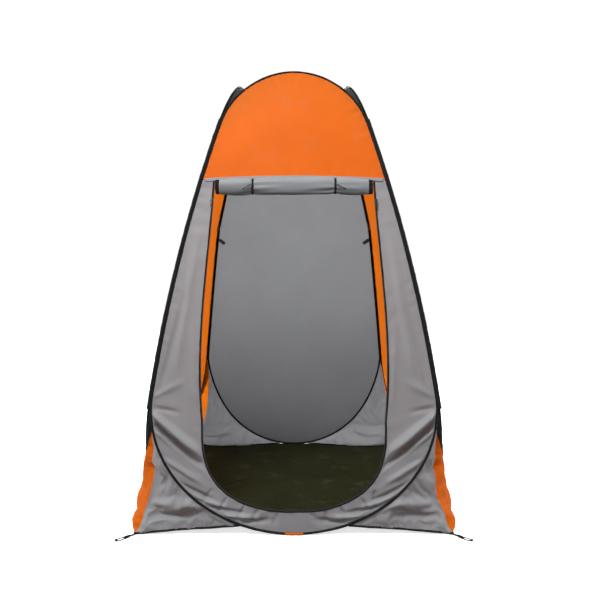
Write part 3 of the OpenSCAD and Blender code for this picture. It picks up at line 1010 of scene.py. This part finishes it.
def gussets(k):
    co2, faces, pinned = corner_cloth(k)
    q, z = co2.T
    co = corner_shape(k, q, z)
    if k == 2:
        pinned = sorted(set(pinned) | set(np.flatnonzero(np.abs(q) < 1e-5).tolist()))
    ob = make("draping", co, faces)
    co = drape(ob, pinned, 34, -0.035)
    bpy.data.objects.remove(ob)
    co[:, 2] = np.maximum(co[:, 2], 0.0035)
    for f, s in ((k, 1), ((k - 1) % 4, -1)):
        if f in (LEFT, RIGHT):
            co += billow(f, q * s, z)[:, None] * OUT[f]
    CORNER_CLOTH[k] = (q, z, co, faces)
    for f, side in ((k, 1), ((k - 1) % 4, -1)):
        part = [t for t in faces if q[list(t)].mean() * side > 0]
        used = sorted({i for t in part for i in t})
        at = {v: i for i, v in enumerate(used)}
        grey = f in (FRONT, BACK)
        where = "left" if side > 0 else "right"
        if not grey:
            where = "front" if (side > 0) == (f == RIGHT) else "back"
        if f == BACK:
            where = "right" if side > 0 else "left"
        name = f"{NAMES[f]}_gusset_{where}"
        ob = make(
            name + "_cloth", co[used], [[at[i] for i in t] for t in part],
            np.stack([q[used], z[used]], 1), grey_cloth if grey else orange_cloth, None,
            name,
        )
        smoother = ob.modifiers.new("rounded", "SUBSURF")
        smoother.levels = smoother.render_levels = 1
        smoother.boundary_smooth = "PRESERVE_CORNERS"
        bend_corner(ob, k, f)


for k in range(4):
    gussets(k)


# ---------------------------------------------------------------- hems along the ground
HEM = 0.85 * np.array([(0.0068, 0.0006), (0.0026, 0.0012), (0.0014, 0.0028), (-0.001, 0.0030),
                (-0.0028, 0.0018), (-0.0032, 0), (-0.0028, -0.0018), (-0.001, -0.0030),
                (0.0014, -0.0028), (0.0026, -0.0012), (0.0068, -0.0006)])


def hem(f, side):
    """One base hem, from the corner to the hoop's foot."""
    x = np.linspace(BASE_HALF - 0.004, hem_end(f) - 0.006, 56)
    rng = np.random.default_rng(90 + 2 * f + side)
    path = hem_line(f, side * x)
    path[:, 2] += 0.0002 + 0.0010 * np.abs(np.sin(x * 38 + rng.random() * 6))
    path += (0.0012 * np.sin(x * 31 + rng.random() * 6))[:, None] * OUT[f]
    return path if side < 0 else path[::-1]


for f in range(4):
    parts = []
    for side in (-1, 1):
        path = hem(f, side)
        rings = sweep(path, gathered(HEM, len(path), 95 + 2 * f + side), OUT[f], closed=False)
        parts.append(rings)
    n, m = parts[0].shape[:2]
    across = from_stitches(HEM, 0.002)
    s = arc_length(hem(f, 1))
    co = np.concatenate([p.reshape(-1, 3) for p in parts])
    uv = np.concatenate([np.stack([np.repeat(s, m), np.tile(across, n)], 1)] * 2)
    faces = grid_faces(n, m, False, True)[:, ::-1]
    faces = [list(q) for q in np.concatenate([faces, faces + n * m])]
    for o in (0, n * m):
        faces += [list(range(o, o + m)), list(range(o + n * m - 1, o + n * m - m - 1, -1))]
    make(
        f"{NAMES[f]}_base_hem", co, faces, uv, binding, NAMES[f],
        f"{NAMES[f]}_hem",
    )

# ---------------------------------------------------------------- ground sheet
def rim_height(f, x):
    """Height at which the ground sheet is sewn to the hem or the hoop's foot."""
    foot = half_hoop(f)
    return np.minimum(
        np.interp(np.abs(x), foot[:60, 0], foot[:60, 1]), hem_line(f, x)[:, 2]
    )


def ground_grid(f):
    """Points of the quarter of the ground sheet next to face f."""
    n, m = 40, 90
    t = np.linspace(0, 1, n)
    edge = hem_line(f, np.linspace(-1, 1, m) * (BASE_HALF + 0.004))
    edge[:, 2] = rim_height(f, np.linspace(-1, 1, m) * (BASE_HALF - 0.006)) + 0.0002
    edge += (0.0100 if f == BACK else 0.0018) * OUT[f]
    co = edge[None] * t[:, None, None]
    reach = np.linalg.norm(edge[None] - co, axis=-1)
    co[..., 2] = 0.0015 + (edge[None, :, 2] - 0.0015) * (1 - smooth(0, 0.085, reach))
    x, y = co[..., 0], co[..., 1]
    ripple = waves(x, y, 7, 9, 0.07, 0.4) + 1.2
    co[..., 2] += 0.0016 * ripple.clip(0) * smooth(0, 0.06, reach)
    crumple = sum(
        crease(x, y, a, b, 0.012, 0.8)
        for a, b in (((-0.5, -0.2), (-0.1, 0.1)), ((0.45, -0.1), (0.1, 0.35)),
                     ((-0.2, 0.5), (0.1, 0.2)), ((0.3, -0.45), (0.0, -0.2)))
    )
    co[..., 2] += 0.004 * crumple * smooth(0, 0.06, reach)
    return co


for f in range(4):
    co = ground_grid(f)
    n, m = co.shape[:2]
    ob = make(
        f"ground_{NAMES[f]}_quarter", co.reshape(-1, 3), grid_faces(n, m)[:, ::-1],
        co[..., :2].reshape(-1, 2), floor_cloth, NAMES[f],
        "ground_sheet" if f == FRONT else (),
    )
    across = np.cross(np.gradient(co, axis=1), np.gradient(co, axis=0))
    across *= np.sign(across[..., 2:])
    across[:2], across[:, 0], across[:, -1] = (0, 0, 1), (0, 0, 1), (0, 0, 1)
    across /= np.linalg.norm(across, axis=-1, keepdims=True)
    ob.data.normals_split_custom_set_from_vertices(across.reshape(-1, 3).tolist())
    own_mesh(ob)


# ---------------------------------------------------------------- roof between the crowns
ROOF_LOW, ROOF_MID = MEET_TOP - 0.012, 1.850


def roof_rim(f, n=81):
    """The roof's edge along face f's crown, a little inside its hoop, left to right."""
    crown = half_hoop(f, 0.0018)
    crown = crown[crown[:, 1] > ROOF_LOW][::-1]
    line = np.concatenate([crown[:0:-1] * (-1, 1), crown])
    line = resample(line, n)
    return spot(f, line[:, 0], line[:, 1], -0.0022)


def roof_gore(f):
    rim = roof_rim(f)
    n, m = 34, len(rim)
    r = np.linspace(0.0, 1, n)[:, None]
    b = np.linspace(-1, 1, m)[None]
    co = rim[None] * r[..., None]
    lift = mix(ROOF_MID, rim[None, :, 2], r**1.6)
    flat = np.minimum(np.abs(b) ** 3, 1)
    co[..., 2] = lift - 0.012 * np.sin(np.pi * r) * flat
    x, y = co[..., 0], co[..., 1]
    co[..., 2] += 0.002 * waves(x, y, 130, 7, 0.06, 0.3) * np.sin(np.pi * r)
    valley = np.exp(-((1 - np.abs(b)) * 3.2) ** 2) * np.sin(np.pi * r**1.3)
    return co, valley


for f in range(4):
    co, valley = roof_gore(f)
    co[..., 2] -= 0.010 * valley
    n, m = co.shape[:2]
    uv = np.stack([co @ ALONG[f], co @ OUT[f] - co[..., 2]], -1)
    ob = make(
        f"roof_{NAMES[f]}_gore", co.reshape(-1, 3), grid_faces(n, m)[:, ::-1], uv.reshape(-1, 2),
        charcoal_cloth, NAMES[f], "roof_panel" if f == FRONT else (),
    )
    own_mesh(ob)

# ---------------------------------------------------------------- front lintel and seams
def strip(name, f, path, width, relief, mat, body, replaces=(), thick=0.001, rows=4):
    """A tape of that width centred on a path of (x, z) points on face f."""
    d = np.gradient(path, axis=0)
    d /= np.linalg.norm(d, axis=1)[:, None]
    side = np.stack([-d[:, 1], d[:, 0]], 1)
    w = np.linspace(-0.5, 0.5, rows + 1)[None, :, None]
    grid = path[:, None] + side[:, None] * w * np.reshape(width, (-1, 1, 1))
    s = np.broadcast_to(arc_length(path)[:, None], grid.shape[:2])
    v = (w[..., 0] * np.reshape(width, (-1, 1))) + 0 * s
    edge = np.abs(np.abs(w[..., 0]) * np.reshape(width, (-1, 1)) - np.reshape(width, (-1, 1)) / 2)
    uv = np.stack([s, np.minimum(edge + 0 * s, 1) - 0.0015], -1)
    co = spot(f, grid[..., 0], grid[..., 1], relief + 0 * v)
    ob = make(
        name, co.reshape(-1, 3), grid_faces(*grid.shape[:2]), uv.reshape(-1, 2), mat, body,
        replaces,
    )
    thicken(ob, thick)
    return ob


for f, name in ((FRONT, "front_seam_tape"), (BACK, "back_seam_tape")):
    wide = 0.372 if f == FRONT else 0.348
    x = np.linspace(-wide, wide, 150)
    path = np.stack([x, seam_line(x, f) - 0.006], 1)
    out = 0.003 + 0.0007 * waves(x, x * 0, 140 + f, 8, 0.02, 0.1)[:, None]
    ob = strip(
        name + "_cloth", f, path, 0.015, out, grey_cloth, NAMES[f], name
    )

# ---------------------------------------------------------------- rolled door
roll_low, roll_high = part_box("door_roll")
ROLL_Z = (roll_low.z + roll_high.z) / 2
ROLL_Y = (roll_low.y + roll_high.y) / 2
ROLL_X = roll_high.x
strap_low, strap_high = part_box("roll_strap_right")
STRAP_X = (strap_low.x + strap_high.x) / 2


def roll_place(x, angle, depth):
    """A point of the rolled door: depth 1 is its outer turn, 0 the hollow in its middle."""
    x, angle, depth = np.broadcast_arrays(x, angle, depth)
    u = np.abs(x)
    tight = bump(u - STRAP_X, 0.020)
    swell = bump(x, 0.10) * 0.0015
    end = smooth(0.24, 0.31, u)
    tall = mix(0.0095, 0.0355, depth) - 0.0055 * tight * depth + swell - 0.004 * end * depth
    deep = mix(0.0055, 0.0205, depth) - 0.0040 * tight * depth + swell - 0.001 * end * depth
    near = np.exp(-np.abs(u - STRAP_X) / 0.055) * smooth(0, 0.012, np.abs(u - STRAP_X))
    rng = np.random.default_rng(17)
    rough = 0
    for _ in range(7):
        k = int(rng.integers(4, 12))
        twist = rng.normal(0, 14)
        rough = rough + np.sin(k * angle + twist * x + rng.random() * 6.28)
    rough = rough * 0.0011 * near
    for _ in range(6):
        k = int(rng.integers(1, 5))
        rough = rough + 0.0007 * np.sin(k * angle + rng.normal(0, 9) * x + rng.random() * 6.28)
    slack = 0.0012 * np.sin(x * 22 + 1) * np.cos(angle) + rough
    z = ROLL_Z - 0.004 * smooth(0.15, 0.31, u) + 0.0015 * np.sin(x * 11)
    return np.stack(
        [x, ROLL_Y - (deep + slack * depth) * np.cos(angle),
         z + (tall + slack * depth) * np.sin(angle)], -1
    )


def rolled_door():
    turns, around, along = 11, 44, 96
    n = turns * around
    angle = np.linspace(0, 2 * np.pi * turns, n + 1) + 2.2
    depth = np.linspace(0.0, 1.0, n + 1)
    x = np.linspace(-ROLL_X, ROLL_X, along)
    grid = roll_place(x[:, None], angle[None], depth[None])
    s = np.concatenate([[0], np.cumsum(np.linalg.norm(np.diff(grid[along // 2], axis=0), axis=1))])
    uv = np.stack(np.broadcast_arrays(x[:, None], s[None]), -1)
    ob = make(
        "rolled_door", grid.reshape(-1, 3), grid_faces(along, n + 1), uv.reshape(-1, 2),
        grey_cloth, "front", "door_roll",
    )
    thicken(ob, 0.0006)


rolled_door()


def loop_band(name, x0, grow, width, thick, mat, replaces, depth=1.0):
    """A band that goes round the roll at x0."""
    m = 60
    a = np.linspace(0, 2 * np.pi, m, endpoint=False)
    w = np.linspace(-width / 2, width / 2, 5)
    core = roll_place(np.full(m, x0)[None] + w[:, None], a[None], depth)
    flat = core[2:3].copy()
    flat = np.repeat(flat, 5, 0)
    flat[..., 0] = x0 + w[:, None]
    centre = np.array([x0, ROLL_Y, ROLL_Z])
    d = flat - centre
    d[..., 0] = 0
    d /= np.linalg.norm(d, axis=-1, keepdims=True)
    edge = 1 - 0.25 * (np.abs(w) / w[-1])[:, None, None] ** 3
    skins = [flat + d * grow, flat + d * (grow + thick * edge)]
    co = np.concatenate([skins[0], skins[1][::-1]])
    s = np.linspace(0, 0.19, m)
    v = np.concatenate([w, w[::-1]])
    uv = np.stack(np.broadcast_arrays(s[None], v[:, None] + 0.002), -1)
    ob = make(
        name, co.reshape(-1, 3), grid_faces(10, m, True, True), uv.reshape(-1, 2), mat,
        "front", replaces,
    )
    return ob


for side, where in ((-1, "left"), (1, "right")):
    loop_band(
        f"roll_tie_{where}", side * STRAP_X, 0.0006, 0.009, 0.0018, webbing,
        f"roll_strap_{where}",
    )


def zip_end_bar(side):
    """The end of the rolled door: its zip, wound up flat with the tape's edges showing."""
    turns, around = 5, 40
    n = turns * around
    angle = np.linspace(0, 2 * np.pi * turns, n + 1) + 2.2
    depth = np.linspace(0.12, 0.98, n + 1)
    x = side * np.linspace(ROLL_X - 0.004, ROLL_X + 0.0155, 7)
    wide = np.ones(7)
    wide[[0, -1]] = 0.985
    grid = roll_place(np.full(7, side * ROLL_X)[:, None], angle[None], depth[None] * wide[:, None])
    grid[..., 0] = x[:, None] + 0.0012 * np.sin(angle * 1.7)[None]
    s = np.concatenate([[0], np.cumsum(np.linalg.norm(np.diff(grid[3], axis=0), axis=1))])
    v = np.abs(x - x[3])
    uv = np.stack(np.broadcast_arrays(s[None], 0.008 - v[:, None]), -1)
    return grid, uv


parts = [zip_end_bar(side) for side in (-1, 1)]
n, m = parts[0][0].shape[:2]
faces = grid_faces(n, m)
ob = make(
    "rolled_zip_ends", np.concatenate([p[0].reshape(-1, 3) for p in parts]),
    np.concatenate([faces, faces[:, ::-1] + n * m]),
    np.concatenate([p[1].reshape(-1, 2) for p in parts]), binding, "front",
    "door_roll_zip_ends",
)
thicken(ob, 0.0013)

# ---------------------------------------------------------------- door edge: tape, zip and stitches
TAPE = np.array([(0.0062, 0.0012), (0.003, 0.0019), (0.0, 0.0020), (-0.0018, 0.0012),
                 (-0.0018, -0.0012), (0.0, -0.0020), (0.003, -0.0019), (0.0062, -0.0012)])


def door_line(gap, step):
    """The doorway's edge from the seam on the left round the sill to the seam on the right."""
    path = door_edge(gap)
    path = path[path[:, 1] < SEAM_Z - 0.004]
    path = np.concatenate([path[:0:-1] * (-1, 1), path])
    return resample(path, int(arc_length(path)[-1] / step))


line = door_line(0.0, 0.008)
tape_waves = 0.0012 * waves(line[:, 0], line[:, 1], 150, 6, 0.05, 0.2)
path = spot(FRONT, line[:, 0], line[:, 1], tape_waves)
sweep_piece(
    "door_tape", path[::-1], gathered(TAPE, len(path), 151), OUT[FRONT], binding, "front",
    "door_edge_binding", closed=False, across=from_stitches(TAPE, 0.0022),
)


def zip_coil():
    """Row of zip teeth along the doorway's edge, on the outside."""
    line = door_line(0.0012, 0.0032)
    p = spot(FRONT, line[:, 0], line[:, 1], 0.0030)
    t = np.gradient(p, axis=0)
    t /= np.linalg.norm(t, axis=1)[:, None]
    side = np.cross(OUT[FRONT][None], t)
    side /= np.linalg.norm(side, axis=1)[:, None]
    out = np.cross(t, side)
    box = np.array([(a, b, c) for c in (-1, 1) for a, b in ((-1, -1), (1, -1), (1, 1), (-1, 1))])
    size = np.array([0.0010, 0.0017, 0.0009])
    co, faces = [], []
    quads = np.array([(0, 3, 2, 1), (4, 5, 6, 7), (0, 1, 5, 4), (1, 2, 6, 5), (2, 3, 7, 6),
                      (3, 0, 4, 7)])
    taper = np.where(box[:, 2:] > 0, 0.72, 1.0)
    for i in range(len(p)):
        d = box * size
        d[:, :2] *= taper
        co.append(p[i] + d[:, 0:1] * t[i] + d[:, 1:2] * side[i] + d[:, 2:3] * out[i])
        faces.append(quads + 8 * i)
    return np.concatenate(co), np.concatenate(faces)


co, faces = zip_coil()
make(
    "door_zip_teeth", co, faces, np.stack([co[:, 0], co[:, 2]], 1), zip_teeth, "front",
)

# ---------------------------------------------------------------- black patches on the side gussets, partly painted shade
def on_cloth(k, q, z):
    """Points and outward normals on the draped cloth of corner k at its flat places (q, z)."""
    q0, z0, co, faces = CORNER_CLOTH[k]
    flat = [Vector((a, b, 0)) for a, b in zip(q0, z0)]
    tree = BVHTree.FromPolygons(flat, faces)
    places, normals = [], []
    for a, b in zip(q, z):
        point = Vector((a, b, 0))
        triangle = faces[tree.find_nearest(point)[2]][:3]
        under = [flat[j] for j in triangle]
        ring = [Vector(co[j]) for j in triangle]
        places.append(barycentric_transform(point, *under, *ring))
        normals.append((ring[1] - ring[0]).cross(ring[2] - ring[0]).normalized())
    return np.array(places), np.array(normals)


PATCH_LOW, PATCH_TOP = 0.222, 0.500
PATCH_WIDENS = 0.203


def shade_and_binding_patch(k, f, s):
    """Black patch over a side gusset's tip, narrowing down its hoop's outside: partly black
    binding, partly painted shade where the side wall's outside lies in shade.
    """
    z = np.linspace(PATCH_LOW, PATCH_TOP, 52)
    reach = rim_reach(f, z)
    share = np.clip(((z - PATCH_LOW) / PATCH_WIDENS) ** 0.8, 0.04, 1)
    w = np.linspace(0, 1, 12)[None]
    q = s * (reach[:, None] + 0.002 - (reach * share + 0.001)[:, None] * w)
    zs = np.broadcast_to(z[:, None], q.shape)
    co, normal = on_cloth(k, q.ravel(), zs.ravel())
    side = np.sign((normal @ (OUT[f] + OUT[(f + (-1 if s > 0 else 1)) % 4]))[:, None])
    co = (co + 0.0022 * normal * side).reshape(*q.shape, 3)
    uv = np.stack([zs, (1 - w) * (reach * share)[:, None] - 0.003], -1)
    return co, uv


for k in range(4):
    for s in (-1, 1):
        f = k if s > 0 else (k - 1) % 4
        if f not in (LEFT, RIGHT):
            continue
        co, uv = shade_and_binding_patch(k, f, s)
        n, m = co.shape[:2]
        faces = grid_faces(n, m) if s > 0 else grid_faces(n, m)[:, ::-1]
        # Painted shade in part: this black sheet stands where the side wall's outside lies in shade
        ob = make(
            f"{NAMES[f]}_guard_{'front' if SIDES[k][1] < 0 else 'back'}", co.reshape(-1, 3), faces,
            uv.reshape(-1, 2), binding, None,
        )
        thicken(ob)
        bend_corner(ob, k, f)

# ---------------------------------------------------------------- webs over the corners' sleeves
WEB_LOW, WEB_TOP = 0.47, 1.66


def web_rows(k, z):
    """A black web that wraps the two sleeves along corner k: rows of points at heights z."""
    a = (k - 1) % 4
    rows = []
    for t in np.linspace(-1, 1, 9):
        f = a if t < 0 else k
        end = 1 if t < 0 else -1
        x = end * (half(z) - EDGE_GAP * (0.15 + 0.95 * abs(t)))
        belly = 0.0052 * math.cos(t * 1.35) + 0.0008
        rows.append(spot(f, x, z, belly))
    return np.stack(rows, 1)


def web(k, low, high, name, blend):
    """One length of corner k's web. It rides the right wall at the open corner, and is left on no
    body elsewhere.
    """
    z = np.linspace(low, high, max(6, int((high - low) / 0.012)))
    co = web_rows(k, z)
    rng = np.random.default_rng(170 + k)
    co += 0.0003 * rng.normal(size=co.shape[:2])[..., None] * np.array(SIDES[k] + (0,))
    n, m = co.shape[:2]
    v = 0.007 - np.abs(np.linspace(-0.0085, 0.0085, m))
    uv = np.stack(np.broadcast_arrays(z[:, None], v[None]), -1)
    ob = make(
        name, co.reshape(-1, 3), grid_faces(n, m)[:, ::-1], uv.reshape(-1, 2), binding, None,
    )
    thicken(ob, 0.0009)
    if not blend:
        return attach(ob, "right")
    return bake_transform(ob)


TAPES = {0: "front_left_corner_tape", 1: "front_right_corner_tape",
         2: "back_right_corner_tape", 3: "back_left_corner_tape"}
for k in range(4):
    # The back left corner folds shut, so its web is cut where the hoops draw apart
    between = [0.56, 0.62, 0.72, 0.86, 1.0, 1.12] if k == 3 else []
    cuts = [WEB_LOW, *between, WEB_TOP]
    for i, (low, high) in enumerate(zip(cuts[:-1], cuts[1:])):
        piece = web(k, low, high, f"corner_web_{k}_{i}", k != 2)
        if i == 0:
            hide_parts(TAPES[k])


# ---------------------------------------------------------------- sliders, pulls, toggles
def turned(name, rings, start, end, mat, body, replaces, around=20):
    """A turned rod from start to end through (share of the length, radius) rings."""
    start, end = np.array(start, float), np.array(end, float)
    d = (end - start) / np.linalg.norm(end - start)
    side = np.cross(d, (0, 1, 0))
    side /= np.linalg.norm(side)
    up = np.cross(side, d)
    a = np.linspace(0, 2 * np.pi, around, endpoint=False)
    ring = np.cos(a)[:, None] * side + np.sin(a)[:, None] * up
    co = np.concatenate([mix(start, end, t) + r * ring for t, r in rings])
    s = np.array([t for t, _ in rings]) * np.linalg.norm(end - start)
    uv = np.stack([np.repeat(s, around), np.tile(a * 0.004, len(rings))], 1)
    faces = [list(q) for q in grid_faces(len(rings), around, wrap_m=True)]
    n = len(rings) * around
    faces += [list(range(around - 1, -1, -1)), list(range(n - around, n))]
    ob = make(name, co, faces, uv, mat, body, replaces)
    bm = bmesh.new()
    bm.from_mesh(ob.data)
    bmesh.ops.recalc_face_normals(bm, faces=bm.faces)
    bm.to_mesh(ob.data)
    bm.free()
    return ob


TOGGLE = [(0.0, 0.0012), (0.01, 0.0022), (0.04, 0.0029), (0.12, 0.0031), (0.36, 0.0029),
          (0.42, 0.0027), (0.45, 0.0021), (0.50, 0.0019), (0.55, 0.0021), (0.58, 0.0027),
          (0.64, 0.0029), (0.88, 0.0031), (0.96, 0.0029), (0.99, 0.0022), (1.0, 0.0012)]
for side, where in ((-1, "left"), (1, "right")):
    low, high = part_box(f"roll_toggle_{where}")
    y = (low.y + high.y) / 2
    inner, outer = (low.x, high.x) if side > 0 else (high.x, low.x)
    start = (inner + side * 0.0014, y, high.z - 0.0028)
    end = (outer - side * 0.0014, y, low.z + 0.0028)
    turned(
        f"toggle_{where}", TOGGLE, start, end, toggle_plastic, f"roll_toggle_{where}",
        f"roll_toggle_{where}",
    )


def rounded_plate(outline, hole, thick, bevel):
    """A plate in the xz plane with a rounded rim and perhaps a hole, centred on y = 0."""
    bm = bmesh.new()
    ring = [bm.verts.new((x, 0, z)) for x, z in outline]
    edges = [bm.edges.new((a, b)) for a, b in zip(ring, ring[1:] + ring[:1])]
    if hole:
        x0, z0, r = hole
        n = 20
        inner = [
            bm.verts.new((x0 + r * math.cos(a), 0, z0 + r * math.sin(a)))
            for a in np.linspace(0, 2 * np.pi, n, endpoint=False)
        ]
        edges += [bm.edges.new((a, b)) for a, b in zip(inner, inner[1:] + inner[:1])]
    bmesh.ops.triangle_fill(bm, use_beauty=True, edges=edges)
    flat = list(bm.faces)
    bmesh.ops.recalc_face_normals(bm, faces=flat)
    more = bmesh.ops.extrude_face_region(bm, geom=flat)
    verts = [v for v in more["geom"] if isinstance(v, bmesh.types.BMVert)]
    bmesh.ops.translate(bm, verts=verts, vec=(0, thick, 0))
    bmesh.ops.translate(bm, verts=bm.verts, vec=(0, -thick / 2, 0))
    bmesh.ops.recalc_face_normals(bm, faces=bm.faces)
    sharp = [e for e in bm.edges if len(e.link_faces) == 2 and e.calc_face_angle() > 0.9]
    bmesh.ops.bevel(bm, geom=sharp, offset=bevel, segments=2, affect="EDGES", profile=0.6)
    return bm


def superellipse(a, b, power, n=28, cx=0.0, cz=0.0):
    t = np.linspace(0, 2 * np.pi, n, endpoint=False)
    c, s = np.cos(t), np.sin(t)
    return [
        (cx + a * math.copysign(abs(u) ** (2 / power), u),
         cz + b * math.copysign(abs(v) ** (2 / power), v))
        for u, v in zip(c, s)
    ]


def join_bm(parts):
    """One mesh from several bmeshes, each with its own offset."""
    whole = bpy.data.meshes.new("whole")
    bm = bmesh.new()
    for part, offset in parts:
        bmesh.ops.translate(part, verts=part.verts, vec=offset)
        mesh = bpy.data.meshes.new("part")
        part.to_mesh(mesh)
        part.free()
        bm.from_mesh(mesh)
        bpy.data.meshes.remove(mesh)
    bm.to_mesh(whole)
    bm.free()
    return whole


def hard_piece(name, mesh, place, lean, mat, body, replaces):
    """A hard piece modelled upright at the origin, leant about x and then put in its place."""
    ob = bpy.data.objects.new(name, mesh)
    scene.collection.objects.link(ob)
    mesh.transform(Matrix.Translation(place) @ Matrix.Rotation(lean, 4, "X"))
    mesh.polygons.foreach_set("use_smooth", np.ones(len(mesh.polygons), bool))
    mesh.materials.append(mat)
    edges = ob.modifiers.new("shaded_edges", "EDGE_SPLIT")
    edges.split_angle = 0.7
    return finish(ob, body, replaces)


SLIDER_Z = 1.292
LEAN = math.atan((half(1.242) - half(1.342)) / 0.1)
for side, where in ((-1, "left"), (1, "right")):
    place = Vector((side * (door_x(SLIDER_Z) + 0.004), -half(SLIDER_Z) - 0.008, SLIDER_Z))
    body = f"zip_slider_{where}"
    shell = [
        (-0.0024, -0.0078), (0.0024, -0.0078), (0.0036, -0.0066), (0.0040, -0.0020),
        (0.0055, 0.0024), (0.0055, 0.0062), (0.0042, 0.0080), (0.0012, 0.0080),
        (0.0, 0.0060), (-0.0012, 0.0080), (-0.0042, 0.0080), (-0.0055, 0.0062),
        (-0.0055, 0.0024), (-0.0040, -0.0020), (-0.0036, -0.0066),
    ]
    arch = [(-0.0042, 0.0), (-0.0036, 0.0022), (-0.0020, 0.0032), (0.0026, 0.0032),
            (0.0045, 0.0020), (0.0050, 0.0), (0.0035, 0.0), (0.0030, 0.0012),
            (0.0018, 0.0018), (-0.0014, 0.0018), (-0.0024, 0.0010), (-0.0028, 0.0)]
    bridge = rounded_plate(arch, None, 0.0026, 0.0003)
    bmesh.ops.rotate(
        bridge, verts=bridge.verts, cent=(0, 0, 0),
        matrix=Matrix(((0, 1, 0), (0, 0, -1), (1, 0, 0))).to_3x3(),
    )
    whole = join_bm([
        (rounded_plate(shell, None, 0.0014, 0.0004), (0, 0.0011, 0)),
        (rounded_plate(shell, None, 0.0014, 0.0004), (0, -0.0017, 0)),
        (rounded_plate(superellipse(0.0012, 0.0032, 3, 16), None, 0.0030, 0.0002), (0, 0, 0.0036)),
        (bridge, (0, -0.0024, 0)),
    ])
    hard_piece(
        f"slider_{where}", whole, place, -LEAN, zip_metal, body, f"zip_slider_{where}"
    )
    swing = f"zip_pull_{where}"
    tag = [(-0.0030, 0.0026), (-0.0036, 0.0010), (-0.0024, -0.0060), (-0.0026, -0.0100),
           (-0.0040, -0.0135), (-0.0040, -0.0270), (-0.0030, -0.0293), (0.0, -0.0300),
           (0.0030, -0.0293), (0.0040, -0.0270), (0.0040, -0.0135), (0.0026, -0.0100),
           (0.0024, -0.0060), (0.0036, 0.0010), (0.0030, 0.0026)]
    whole = join_bm([(rounded_plate(tag, (0, -0.0250, 0.0016), 0.0016, 0.0003), (0, -0.0070, 0))])
    hard_piece(f"pull_{where}", whole, place, -LEAN, zip_metal, swing, swing)

# ---------------------------------------------------------------- patch, inner tabs and stake loops
t = np.linspace(-0.034, 0.034, 36)
arc = half_hoop(FRONT)
around = np.radians(np.linspace(-120, 75, 12))
co = np.empty((len(t), len(around), 3))
cy = -half(0.0045)
co[..., 0] = t[:, None]
lift = 0.0056 + 0.0003 * waves(t, t * 0, 181, 6, 0.01, 0.04)[:, None]
co[..., 1] = cy - np.cos(around)[None] * lift
co[..., 2] = 0.0046 + np.maximum(np.sin(around)[None] * lift, -0.0038)
co[..., 2] += (np.interp(np.abs(t), arc[:40, 0], arc[:40, 1]) - arc[0, 1])[:, None]
uv = np.stack(np.broadcast_arrays(t[:, None], around[None] * 0.0045 + 0.004), -1)
ob = make(
    "orange_hoop_patch", co.reshape(-1, 3), grid_faces(*co.shape[:2])[:, ::-1],
    uv.reshape(-1, 2), orange_cloth, "front", "hoop_patch",
)
thicken(ob, 0.0007)

for side, where in ((-1, "left"), (1, "right")):
    node = f"inner_tab_{where}"
    low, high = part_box(node)
    centre = (low + high) / 2
    outer = np.array([high.x if side > 0 else low.x, centre.y, high.z - 0.007])
    s = np.linspace(0, 0.078, 40)
    down = np.array([-side * math.cos(0.61), 0, -math.sin(0.61)])
    wide = np.cross(down, (0, 1, 0))
    turn = 0.0385
    along = np.where(s < turn, s, 2 * turn - s)
    depth = 0.0013 * np.where(s < turn, -1, 1) * smooth(0, 0.012, along) * (
        1 - smooth(turn - 0.003, turn, along)
    )
    v = np.linspace(-0.0088, 0.0088, 9)
    co = outer + along[:, None, None] * down + v[None, :, None] * wide
    co[..., 1] += depth[:, None]
    co[..., 2] += 0.0006 * np.sin(along * 190 + side)[:, None]
    uv = np.stack(np.broadcast_arrays(s[:, None], 0.0072 - np.abs(v)[None]), -1)
    ob = make(
        f"{node}_webbing", co.reshape(-1, 3), grid_faces(*co.shape[:2]), uv.reshape(-1, 2),
        grey_webbing, "back", node,
    )
    thicken(ob, 0.0009)

for k in range(4):
    sx, sy = SIDES[k]
    d = np.array([sx, sy, 0.0]) / math.sqrt(2)
    across = np.array([-d[1], d[0], 0])
    foot = np.array([sx, sy, 0.0]) * BASE_HALF
    n, m = 64, 13
    r = np.linspace(-0.004, 0.0745, n)
    v = np.linspace(-1, 1, m)
    w = mix(0.0055, 0.0105, smooth(0.0, 0.03, r)) - 0.0035 * smooth(0.062, 0.0745, r) ** 2
    co = foot + r[:, None, None] * d + (v[None] * w[:, None])[..., None] * across
    rise = 0.0016 + 0.0016 * bump(r - 0.012, 0.012) + 0.0014 * bump(r - 0.074, 0.012)
    uneven = waves(*np.broadcast_arrays(r[:, None], 0.01 * v), 190 + k, 6, 0.02, 0.08)
    co[..., 2] = rise[:, None] + 0.0005 * uneven
    uv = np.stack(np.broadcast_arrays(r[:, None], 0.0075 - np.abs(v[None] * w[:, None])), -1)
    keep = [
        q for q in grid_faces(n, m).tolist()
        if not (0.038 < r[q[0] // m] < 0.064 and 2 < q[0] % m < 9)
    ]
    where = ("front" if sy < 0 else "back") + "_" + ("left" if sx < 0 else "right")
    ob = make(
        f"stake_webbing_{where}", co.reshape(-1, 3), [q[::-1] for q in keep], uv.reshape(-1, 2),
        webbing, f"stake_loop_{where}", f"stake_loop_{where}",
    )
    thicken(ob, 0.0016)

# Light that bounces off the orange cloth is left out, or it turns the grey inside pink
for ob in scene.objects:
    if ob.type == "MESH" and orange_cloth.name in ob.data.materials:
        ob.visible_diffuse = False
